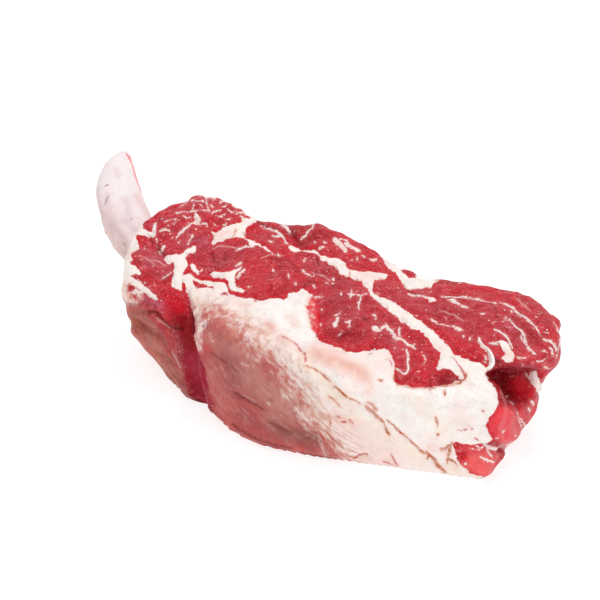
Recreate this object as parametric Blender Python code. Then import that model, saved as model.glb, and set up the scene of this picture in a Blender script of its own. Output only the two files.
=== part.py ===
"""Raw tomahawk steak: a thick cut of beef with its rib bone standing out of one end.

Metres, +Z up. The cut rests on its lower face with its long side along X, and the
bone leaves it at -X. The origin is under the middle of the whole piece.
"""
import bpy
import bmesh
from math import atan2, exp, pi, radians, sin
from mathutils import Matrix, Vector

# The sizes below are in millimetres, and the model is built in metres.
MM = 0.001

# Cells of the grid that the block of meat is cut into
CELLS_LONG = 52
CELLS_WIDE = 24
CELLS_HIGH = 10

# Upper edge of the block, each side from one corner to the next: x, y, height
FRONT_RIM = ((-94, -36, 47), (-72, -42, 42), (-52, -43, 42), (-26, -49, 44), (3, -50, 44),
             (32, -48, 43), (62, -47, 41), (86, -39, 41), (100, -21, 43))
BACK_RIM = ((-104, 22, 59), (-86, 28, 61), (-66, 33, 55), (-42, 46, 55), (-15, 46, 53),
            (12, 42, 50), (42, 45, 51), (68, 52, 51), (93, 44, 48))
LEFT_RIM = ((-94, -36, 47), (-109, -20, 47), (-115, -3, 48), (-112, 10, 53), (-104, 22, 59))
RIGHT_RIM = ((100, -21, 43), (100, -4, 43), (104, 12, 44), (103, 30, 46), (93, 44, 48))

# Edge of the face that it rests on: x, y
FRONT_FOOT = ((-86, -29, 0), (-67, -42, 0), (-48, -49, 0), (-24, -58, 0), (5, -64, 0),
              (31, -57, 0), (57, -44, 0), (81, -33, 0), (101, -22, 0))
BACK_FOOT = ((-95, 18, 0), (-78, 25, 0), (-62, 30, 0), (-40, 40, 0), (-14, 40, 0),
             (12, 36, 0), (40, 37, 0), (64, 42, 0), (80, 39, 0))
LEFT_FOOT = ((-86, -29, 0), (-100, -18, 0), (-106, -4, 0), (-104, 8, 0), (-95, 18, 0))
RIGHT_FOOT = ((101, -22, 0), (99, -4, 0), (94, 12, 0), (89, 28, 0), (80, 39, 0))

# How far the walls swell out half way up
FRONT_BELLY = 4.0
BACK_BELLY = 7.0
LEFT_BELLY = 3.0
RIGHT_BELLY = 2.0

# The cut face climbs from its front edge to its level: higher is steeper
SHOULDER_POWER = 2.6

# Mounds on the cut face: x, y, reach along x, reach along y, rise
MOUNDS = {
    "rib_end_hump": (-88, 12, 24, 15, 4.5),
    "front_left_muscle": (-86, -22, 16, 10, 1.5),
    "centre_muscle": (-20, -4, 34, 20, 2.0),
    "second_muscle": (30, -16, 24, 14, 2.0),
    "right_muscle": (68, -20, 18, 12, 2.5),
    "back_bump_left": (-50, 34, 13, 10, 1.5),
    "back_bump_right": (-30, 38, 12, 9, 2.0),
    "right_flap": (76, 22, 24, 18, 2.5),
}

# Hollows and swellings along straight lines: start, end, half width, push
FOLDS = {
    "front_groove": ((-53, -44, 48), (-34, -56, -4), 8, (2, 7, 0)),
    "groove_shoulder": ((-38, -48, 46), (-22, -58, 16), 8, (-2, -3, 0)),
    "left_bulge": ((-88, -36, 15), (-80, -40, 10), 7, (-1, -3, 0)),
    "left_waist": ((-100, -30, 28), (-78, -42, 22), 8, (1, 3, 0)),
    "slit": ((-8, -60, 19), (22, -60, 16), 3.5, (0, 2.5, 0)),
    "front_hollow": ((-6, -62, 10), (38, -56, 11), 6, (0, 4, 0)),
    "under_the_flap": ((100, 8, 26), (98, 34, 20), 9, (-5, 0, 0)),
    "flap_lip": ((106, 10, 42), (106, 32, 42), 7, (2, 0, -1)),
    "fat_lobe": ((98, -20, 33), (98, -22, 25), 9, (4, -1, 0)),
    "lower_lump": ((100, -22, 8), (102, -8, 10), 9, (3, -2, 0)),
}
SMOOTHING_PASSES = 3

# Deep cleft in the right end, under the flap: half sizes are into the end, along its
# mouth and across its mouth, and the mouth falls away from the front
CLEFT_CENTRE = (103, 5, 33)
CLEFT_REACH = (27, 20, 10)
CLEFT_FALL = -24
CLEFT_WAVES = 3
CLEFT_WAVE_DEPTH = 0.12
CLEFT_SIDES = 20
CLEFT_RINGS = 14

# Rib bone: centre line from its buried end to its tip, then its section
BONE_LINE = ((-64, 9, 29), (-84, 4, 32), (-104, -1, 37), (-122, -1, 43), (-138, 7, 49),
             (-151, 17, 54), (-161, 29, 59), (-169, 42, 64))
BONE_WIDTH = 26.0
BONE_THICKNESS = 11.0
TIP_NARROWING = 0.42
BONE_SQUARENESS = 0.75
BONE_RINGS = 26
BONE_SIDES = 20
BONE_FACE_UP = (0.25, -0.25, 0.93)

# Clearance between the bone and the pocket that it sits in
POCKET_GAP = 0.3


def along(points, t):
    """Point on the smooth curve through the points, t from 0 to 1."""
    last = len(points) - 1
    place = min(max(t, 0.0), 1.0) * last
    i = min(int(place), last - 1)
    f = place - i
    p0, p1, p2, p3 = (Vector(points[min(max(j, 0), last)]) for j in range(i - 1, i + 3))
    square = p0 - 2.5 * p1 + 2 * p2 - 0.5 * p3
    cube = -0.5 * p0 + 1.5 * p1 - 1.5 * p2 + 0.5 * p3
    return p1 + f * (0.5 * (p2 - p0) + f * (square + f * cube))


def patch(front, back, left, right, u, v):
    """Surface between four edge curves: u runs from left to right, v from front to back."""
    sides = (1 - v) * along(front, u) + v * along(back, u)
    ends = (1 - u) * along(left, v) + u * along(right, v)
    near = (1 - u) * Vector(front[0]) + u * Vector(front[-1])
    far = (1 - u) * Vector(back[0]) + u * Vector(back[-1])
    return sides + ends - (1 - v) * near - v * far


def mounds_at(x, y):
    """Rise of the cut face over its level at a place."""
    rise = 0.0
    for mx, my, reach_x, reach_y, height in MOUNDS.values():
        rise += height * exp(-((x - mx) / reach_x) ** 2 - ((y - my) / reach_y) ** 2)
    return rise


def block_point(u, v, w):
    """Where a point of the unit cube lies on the cut of meat."""
    foot = patch(FRONT_FOOT, BACK_FOOT, LEFT_FOOT, RIGHT_FOOT, u, v)
    rim = patch(FRONT_RIM, BACK_RIM, LEFT_RIM, RIGHT_RIM, u, v)
    climb = 1 - (1 - v) ** SHOULDER_POWER
    level = patch(FRONT_RIM, BACK_RIM, LEFT_RIM, RIGHT_RIM, u, climb).z
    height = level + mounds_at(rim.x, rim.y)
    place = foot.lerp(rim, w)
    swell = sin(pi * w)
    if u < 0.001:
        place.x -= swell * LEFT_BELLY
    if u > 0.999:
        place.x += swell * RIGHT_BELLY
    if v < 0.001:
        place.y -= swell * FRONT_BELLY
    if v > 0.999:
        place.y += swell * BACK_BELLY
    place.z = height * w
    return place


def fold_push(point):
    """Sum of what the named folds do to a point."""
    push = Vector((0, 0, 0))
    for start, end, half_width, shift in FOLDS.values():
        first = Vector(start)
        line = Vector(end) - first
        t = min(max((point - first).dot(line) / line.length_squared, 0.0), 1.0)
        distance = (point - first - t * line).length
        push += Vector(shift) * exp(-((distance / half_width) ** 2))
    return push


def cut_across(bm, axis, cells):
    """Cuts the whole cube into equal slices along one axis."""
    direction = Vector((0, 0, 0))
    direction[axis] = 1
    for i in range(1, cells):
        geometry = bm.verts[:] + bm.edges[:] + bm.faces[:]
        bmesh.ops.bisect_plane(bm, geom=geometry, dist=1e-7, plane_co=direction * (i / cells),
                               plane_no=direction)


def meat_mesh():
    """A cube cut into a grid, and laid over the four sides of the cut."""
    bm = bmesh.new()
    bmesh.ops.create_cube(bm, size=1)
    bmesh.ops.translate(bm, verts=bm.verts, vec=(0.5, 0.5, 0.5))
    for axis, cells in enumerate((CELLS_LONG, CELLS_WIDE, CELLS_HIGH)):
        cut_across(bm, axis, cells)
    for vert in bm.verts:
        vert.co = block_point(*vert.co)
    for _ in range(SMOOTHING_PASSES):
        bmesh.ops.smooth_vert(bm, verts=bm.verts, factor=0.5, use_axis_x=True,
                              use_axis_y=True, use_axis_z=True)
    for vert in bm.verts:
        resting = vert.co.z < 0.01
        vert.co += fold_push(vert.co)
        vert.co.z = 0.0 if resting else vert.co.z
        vert.co *= MM
    mesh = bpy.data.meshes.new("meat")
    bm.to_mesh(mesh)
    bm.free()
    return mesh


def bone_mesh(name, swell):
    """A ball drawn out along the bone's line, swell thicker all round."""
    bm = bmesh.new()
    bmesh.ops.create_uvsphere(bm, u_segments=BONE_SIDES, v_segments=BONE_RINGS, radius=1)
    face_up = Vector(BONE_FACE_UP)
    step = 0.01
    for vert in bm.verts:
        # The ball's axis runs along the bone: -1 at the buried end, 1 at the tip.
        t = (1 + vert.co.z) / 2
        centre = along(BONE_LINE, t)
        forward = (along(BONE_LINE, t + step) - along(BONE_LINE, t - step)).normalized()
        across = face_up.cross(forward).normalized()
        upward = forward.cross(across)
        size = 1 - TIP_NARROWING * t ** 3
        reach = (vert.co.x ** 2 + vert.co.y ** 2) ** 0.5
        blunt = min(1.0, reach * 1.6) if reach else 0.0
        side = vert.co.x / reach if reach else 0.0
        top = vert.co.y / reach if reach else 0.0
        side = abs(side) ** BONE_SQUARENESS * (1 if side > 0 else -1)
        top = abs(top) ** BONE_SQUARENESS * (1 if top > 0 else -1)
        half_width = (BONE_WIDTH / 2 * size + swell) * blunt
        half_thick = (BONE_THICKNESS / 2 * size + swell) * blunt
        end_shift = forward * swell * vert.co.z
        vert.co = (centre + across * side * half_width + upward * top * half_thick + end_shift) * MM
    mesh = bpy.data.meshes.new(name)
    bm.to_mesh(mesh)
    bm.free()
    return mesh


def cleft_mesh():
    """A flattened, wavy ball that leaves the cleft when it is taken away."""
    bm = bmesh.new()
    bmesh.ops.create_uvsphere(bm, u_segments=CLEFT_SIDES, v_segments=CLEFT_RINGS, radius=1)
    turn = Matrix.Rotation(radians(CLEFT_FALL), 3, "X")
    for vert in bm.verts:
        turn_round = atan2(vert.co.z, vert.co.y)
        wave = 1 + CLEFT_WAVE_DEPTH * sin(CLEFT_WAVES * turn_round + 4 * vert.co.x)
        reach = Vector([size * part * wave for size, part in zip(CLEFT_REACH, vert.co)])
        vert.co = (Vector(CLEFT_CENTRE) + turn @ reach) * MM
    mesh = bpy.data.meshes.new("cleft_cutter")
    bm.to_mesh(mesh)
    bm.free()
    return mesh


def new_object(name, mesh, collection):
    thing = bpy.data.objects.new(name, mesh)
    collection.objects.link(thing)
    mesh.shade_smooth()
    return thing


def add_material(thing, colour, roughness):
    material = bpy.data.materials.new(thing.name + "_finish")
    material.use_nodes = True
    shader = material.node_tree.nodes["Principled BSDF"]
    shader.inputs["Base Color"].default_value = (*colour, 1)
    shader.inputs["Roughness"].default_value = roughness
    shader.inputs["Metallic"].default_value = 0.0
    thing.data.materials.append(material)


def new_collection(name):
    collection = bpy.data.collections.new(name)
    bpy.context.scene.collection.children.link(collection)
    return collection


def cut_away(meat, cutter):
    """Takes the cutter's shape out of the meat."""
    cutter.hide_render = True
    cutter.display_type = "WIRE"
    cut = meat.modifiers.new(cutter.name, "BOOLEAN")
    cut.operation = "DIFFERENCE"
    cut.solver = "EXACT"
    cut.object = cutter


def stand_on_origin(pieces, followers):
    """Moves everything so that the origin lies under the middle of the whole."""
    points = [thing.matrix_world @ vert.co for thing in pieces for vert in thing.data.vertices]
    low = [min(point[axis] for point in points) for axis in range(3)]
    high = [max(point[axis] for point in points) for axis in range(3)]
    shift = Vector((-(low[0] + high[0]) / 2, -(low[1] + high[1]) / 2, -low[2]))
    for thing in pieces + followers:
        thing.location = shift


def main():
    for thing in list(bpy.data.objects):
        bpy.data.objects.remove(thing)
    steak = new_collection("raw_tomahawk_steak")
    cutters = new_collection("cutters")
    meat = new_object("meat", meat_mesh(), steak)
    add_material(meat, (0.53, 0.08, 0.10), 0.35)
    bone = new_object("rib_bone", bone_mesh("rib_bone", 0.0), steak)
    add_material(bone, (0.88, 0.76, 0.74), 0.45)
    pocket = new_object("bone_pocket", bone_mesh("bone_pocket", POCKET_GAP), cutters)
    cleft = new_object("end_cleft", cleft_mesh(), cutters)
    for cutter in (pocket, cleft):
        cut_away(meat, cutter)
    stand_on_origin([meat, bone], [pocket, cleft])


main()
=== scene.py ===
import math

import bmesh
import bpy
import numpy as np
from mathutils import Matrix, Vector, noise
from mathutils.bvhtree import BVHTree


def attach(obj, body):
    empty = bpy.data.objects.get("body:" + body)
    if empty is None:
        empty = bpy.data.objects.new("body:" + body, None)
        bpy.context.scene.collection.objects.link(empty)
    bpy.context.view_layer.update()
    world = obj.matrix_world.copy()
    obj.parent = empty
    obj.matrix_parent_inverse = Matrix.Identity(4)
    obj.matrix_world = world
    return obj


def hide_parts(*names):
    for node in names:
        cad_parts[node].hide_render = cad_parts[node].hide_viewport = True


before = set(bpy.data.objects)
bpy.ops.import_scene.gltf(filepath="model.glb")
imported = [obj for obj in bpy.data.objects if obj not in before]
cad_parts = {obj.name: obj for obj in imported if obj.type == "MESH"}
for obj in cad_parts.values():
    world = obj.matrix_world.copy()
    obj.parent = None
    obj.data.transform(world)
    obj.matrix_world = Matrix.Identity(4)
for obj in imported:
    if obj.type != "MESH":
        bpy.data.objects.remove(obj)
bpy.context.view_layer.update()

mm = 0.001

viewSettings = {
    "turn": 40.0,  # degrees round the steak
    "lift": 25.0,  # degrees above the table
    "distance": 0.8,
    "aim": (0.018657, -0.000428, 0.0427),
    "lens": 106.56,
    "sensor": 36.0,
    "picture": 600,  # side of the square picture, in pixels
}


def lookDirection():
    turn, lift = math.radians(viewSettings["turn"]), math.radians(viewSettings["lift"])
    flat = math.cos(lift)
    return Vector((math.sin(turn) * flat, -math.cos(turn) * flat, math.sin(lift)))


backward = lookDirection()
eye = Vector(viewSettings["aim"]) + backward * viewSettings["distance"]
sideways = Vector((0, 0, 1)).cross(backward).normalized()
upright = backward.cross(sideways)
focal = viewSettings["lens"] / viewSettings["sensor"] * viewSettings["picture"]
middle = viewSettings["picture"] / 2
pixelsPerMetre = focal / viewSettings["distance"]


def toPicture(points):  # in the picture's pixels
    rel = points - np.array(eye)
    depth = -(rel @ np.array(backward))
    across = middle + focal * (rel @ np.array(sideways)) / depth
    down = middle - focal * (rel @ np.array(upright)) / depth
    return np.stack([across, down], 1)


def pictureRay(pixel):
    right, rise = (pixel[0] - middle) / focal, (middle - pixel[1]) / focal
    return (sideways * right + upright * rise - backward).normalized()


def addCamera():
    data = bpy.data.cameras.new("steak_view")
    data.lens, data.sensor_width = viewSettings["lens"], viewSettings["sensor"]
    data.clip_start, data.clip_end = 0.01, 20
    camera = bpy.data.objects.new("steak_view", data)
    camera.location = eye
    camera.rotation_euler = (-backward).to_track_quat("-Z", "Y").to_euler()
    bpy.context.scene.collection.objects.link(camera)
    bpy.context.scene.camera = camera


addCamera()


def smoothPath(points, closed=False, steps=4):  # Catmull-Rom through given points
    spots = np.array(points, float)
    count = len(spots)
    if count < 3:
        return spots
    if closed:
        ring = np.concatenate([spots[-1:], spots, spots[:2]])
        spans = count
    else:
        ring = np.concatenate([2 * spots[:1] - spots[1:2], spots, 2 * spots[-1:] - spots[-2:-1]])
        spans = count - 1
    out = []
    for i in range(spans):
        a, b, c, d = ring[i : i + 4]
        for k in range(steps):
            t = k / steps
            bend = (2 * a - 5 * b + 4 * c - d) * t * t + (3 * b - a - 3 * c + d) * t**3
            out.append(0.5 * (2 * b + (c - a) * t + bend))
    out.append(spots[0] if closed else spots[-1])
    return np.array(out)


def nearestOn(spots, path):  # distance to a path, and how far along it
    best = np.full(len(spots), 1e9)
    along = np.zeros(len(spots))
    for i in range(len(path) - 1):
        step = path[i + 1] - path[i]
        rel = spots - path[i]
        t = np.clip((rel @ step) / max(step @ step, 1e-9), 0, 1)
        gap = np.hypot(rel[:, 0] - t * step[0], rel[:, 1] - t * step[1])
        nearer = gap < best
        best[nearer] = gap[nearer]
        along[nearer] = i + t[nearer]
    return best, along / max(len(path) - 1, 1)


def acrossAt(spots, line, *outside):  # where a line crosses the row of each spot
    return np.interp(spots[:, 1], line[:, 1], line[:, 0], *outside)


def inside(spots, path):
    flips = np.zeros(len(spots), bool)
    for (x0, y0), (x1, y1) in zip(path[:-1], path[1:]):
        if y0 == y1:
            continue
        crosses = (y0 > spots[:, 1]) != (y1 > spots[:, 1])
        flips ^= crosses & (spots[:, 0] < (x1 - x0) * (spots[:, 1] - y0) / (y1 - y0) + x0)
    return flips


def near(spots, path, reach):
    low, high = path.min(0) - reach, path.max(0) + reach
    return np.where(((spots > low) & (spots < high)).all(1))[0]


def outlineGap(spots, points, reach=26):  # pixels to an outline, below zero inside it
    path = smoothPath(points, closed=True)
    field = np.full(len(spots), float(reach))
    who = near(spots, path, reach)
    gap = np.minimum(nearestOn(spots[who], path)[0], reach)
    field[who] = np.where(inside(spots[who], path), -gap, gap)
    return field


def strokeGap(spots, points, width, reach=10):  # pixels to a stroke that is widest halfway
    path = smoothPath(points)
    field = np.full(len(spots), float(reach))
    who = near(spots, path, reach)
    gap, along = nearestOn(spots[who], path)
    taper = 0.45 + 0.55 * np.sin(np.pi * np.clip(along, 0, 1)) ** 0.6
    field[who] = np.minimum(gap - 0.5 * width * taper, reach)
    return field


def brushWeight(spots, points, radius):
    path = smoothPath(points)
    weight = np.zeros(len(spots))
    who = near(spots, path, radius * 2.4)
    gap = nearestOn(spots[who], path)[0]
    weight[who] = np.exp(-((gap / radius) ** 2))
    return weight


# the steak's drawing: everything here is placed in the picture's pixels

# paths that are drawn in two ways
sharedPaths = {
    "hump thread": [(192, 223), (188, 226), (184, 230), (180, 233), (176, 238.5)],
    "middle thread": [(361, 296), (360, 301), (358.5, 305), (359, 310)],
    "lip thread": [(494, 330), (499, 332), (505, 336), (509, 341), (512.5, 348)],
    "low thread": [(480, 456), (486, 459.6), (494, 462.4)],
    "left seam": [(149, 237), (155, 243), (158, 250), (164, 254)],
}

# broad fat
fatOutlines = {
    "star": [
        (164, 257), (167, 254), (175, 254), (181, 254), (187, 249), (194.5, 244.5), (196, 247),
        (194.5, 252), (187, 255), (186, 260), (188, 264), (186, 269), (183, 275), (182, 290), (175, 288),
        (172, 284), (174.6, 268), (173, 264), (168, 264), (165, 260),
    ],
    "star island": [
        (191, 266), (194.5, 266), (197, 269.5), (200, 272), (198, 275), (194, 273), (191.5, 270),
    ],
    "upper wedge": [
        (210, 232), (217, 232), (226, 226.5), (236.5, 223), (243, 222), (240, 218.6), (245, 219),
        (250, 218), (254, 216.5), (258, 218), (254, 222), (248, 226), (246, 229), (245, 237), (240, 239),
        (234, 240), (231.5, 238.5), (226, 240), (222, 242), (217, 242), (213, 245), (212, 241),
        (214, 236),
    ],
    "wedge tail": [
        (244, 239), (250, 239), (255, 242), (261, 246), (267, 248), (270.5, 253), (273, 256.5),
        (270, 254), (265.5, 250), (258, 246), (251, 247), (247, 241),
    ],
    "front wedge": [
        (210, 274.5), (215, 272.5), (222, 273), (229, 273), (233, 270.5), (238, 269.5), (242.5, 267.5),
        (241, 271), (237, 274), (235.5, 278), (236, 285), (240, 287), (244, 289.5), (242, 292),
        (236.5, 290), (231.5, 290), (228, 285), (228.6, 282), (222, 279.5), (215, 278.5),
    ],
    "seam": [
        (290, 247), (298, 246), (301, 249), (311, 249), (316, 250.5), (320, 254), (326, 256), (333, 258),
        (339.5, 260), (345, 263), (348, 268), (354, 271), (360, 272.6), (372.5, 272), (386, 274),
        (387, 277.5), (384, 279), (376, 280), (373.6, 284), (372.4, 288), (373, 291.5), (380, 296.5),
        (389, 301), (399, 307.5), (408, 313), (415, 317.6), (422, 322.4), (431, 330.4), (440, 338.6),
        (447, 345), (455, 352.4), (459.5, 355), (470, 359), (476, 362), (482, 364), (487, 370),
        (480, 380), (463, 376), (457, 373), (448, 370), (437, 369.5), (440, 360), (440.4, 352),
        (433, 344.3), (427, 338), (419.4, 332), (413.5, 329.6), (408, 326.6), (401, 321), (394.6, 316),
        (387, 310), (381, 305), (375, 299.4), (370.6, 295), (369.4, 291.4), (366, 287), (362, 283.6),
        (357, 281), (349, 277.5), (340, 274), (338, 269.5), (330.5, 264), (325, 260.5), (321, 260),
        (319, 255.5), (314, 252), (302, 250.5), (295, 252), (290, 251),
    ],
    "back rim": [
        (384, 260), (389, 262), (396, 263), (402, 265), (409, 268), (417, 274), (428, 277), (437, 276),
        (440, 280), (434, 283), (431, 288), (425, 287), (417, 287), (411, 289), (405, 286.5), (402, 281),
        (398, 275), (392, 270), (388, 266),
    ],
    "upper collar": [
        (129, 234), (134, 230), (141, 224), (144, 229), (151, 232.5), (156, 235.5), (150, 236.5),
        (144, 235), (138, 236), (133, 237),
    ],
    "left collar": [
        (120, 262), (122, 250), (127, 239.5), (131.5, 234), (136, 236), (138, 241), (139, 247),
        (135, 250), (131, 254), (133, 259), (134, 264), (132, 266), (136.5, 269), (140, 272),
        (140.6, 275), (134, 277), (138, 280.5), (148, 289.5), (158, 298.5), (152, 298), (143, 293),
        (143, 300), (134, 303), (124, 300), (118, 285),
    ],
    "flap lobe": [
        (495, 342), (500, 341), (504, 342), (508, 345), (511, 350), (514, 355), (513, 360), (510, 362),
        (505, 361), (502, 358), (505, 355), (503, 350), (500, 346), (497, 344),
    ],
    "pale blob": [(426, 298), (433, 298), (437, 300), (433, 303), (428, 301)],
    "cleft strip": [
        (530, 373), (535, 372), (538, 376), (540, 381), (541, 386), (542, 390), (540, 394), (537, 392),
        (535, 388), (532, 384), (530, 379),
    ],
    "fat wall": [
        (182, 278), (189, 274), (196, 277.5), (203, 280.5), (212, 282), (224, 283.5), (226.5, 286),
        (229, 292), (236, 296), (243, 297.5), (250, 297), (256, 299), (262, 302.5), (270, 300),
        (278, 299), (284, 300), (288, 297), (288, 293), (295, 292), (301, 289), (305, 289.5),
        (309.5, 293), (312, 294), (309, 301), (307.5, 308), (309, 315), (311, 323), (314, 332),
        (318, 339), (326, 343.5), (333, 347), (339.5, 348), (346, 351), (353, 351.5), (360, 350.5),
        (371, 349), (381, 348.5), (388, 350), (391, 356), (394, 363), (395, 370), (395, 383.5),
        (404, 386), (412, 387.5), (430, 387), (439, 386), (448, 384.5), (455, 380.5), (463, 376.5),
        (474, 371), (483, 370), (487.5, 377), (492, 385), (496, 391), (498.5, 398), (500, 404),
        (496, 410), (489, 418), (486, 425), (488, 432), (491, 438), (488, 444), (483, 442.5),
        (478, 443.5), (470, 444), (461, 443), (453, 443), (456, 451), (457, 459), (463, 466), (470, 472),
        (478, 475), (486, 480), (470, 490), (330, 484), (250, 462), (212, 430), (213, 404), (210, 388),
        (206, 372), (202, 358), (199, 345), (197, 330), (193, 313), (187, 290),
    ],
}

# muscle that shows through the fat
fatHoles = {
    "collar island": [(149, 221), (153, 220), (153, 228), (149, 227)],
    "rim island": [(401, 268.5), (406, 268.5), (413, 272), (416.5, 277.5), (410, 277.5), (404, 273)],
    "wedge islet": [
        (193, 280.5), (197, 282), (203, 284.5), (210, 286.5), (214, 289), (205, 288.3), (197, 288.5),
        (194, 285),
    ],
    "wall islet": [(221, 293), (225, 291.7), (229.5, 294), (224.5, 295.2)],
    "red tongue": [(375, 284), (377, 280.5), (383, 279.5), (388, 282), (386, 286), (379, 287)],
    "membrane": [
        (205, 316), (213, 312), (222, 313), (233, 319), (243, 335), (254, 350), (270, 360), (283, 376),
        (290, 392), (300, 402), (306, 420), (317, 430), (327, 440), (345, 458), (348, 476), (250, 470),
        (190, 425), (188, 404), (188, 388), (188, 372), (190, 356), (200, 346), (203, 330),
    ],
    "left collar specks": [(130, 287), (133, 285), (136, 289), (132, 292)],
    "left collar specks low": [(134, 296), (139, 295), (140, 299), (135, 300)],
}

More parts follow.
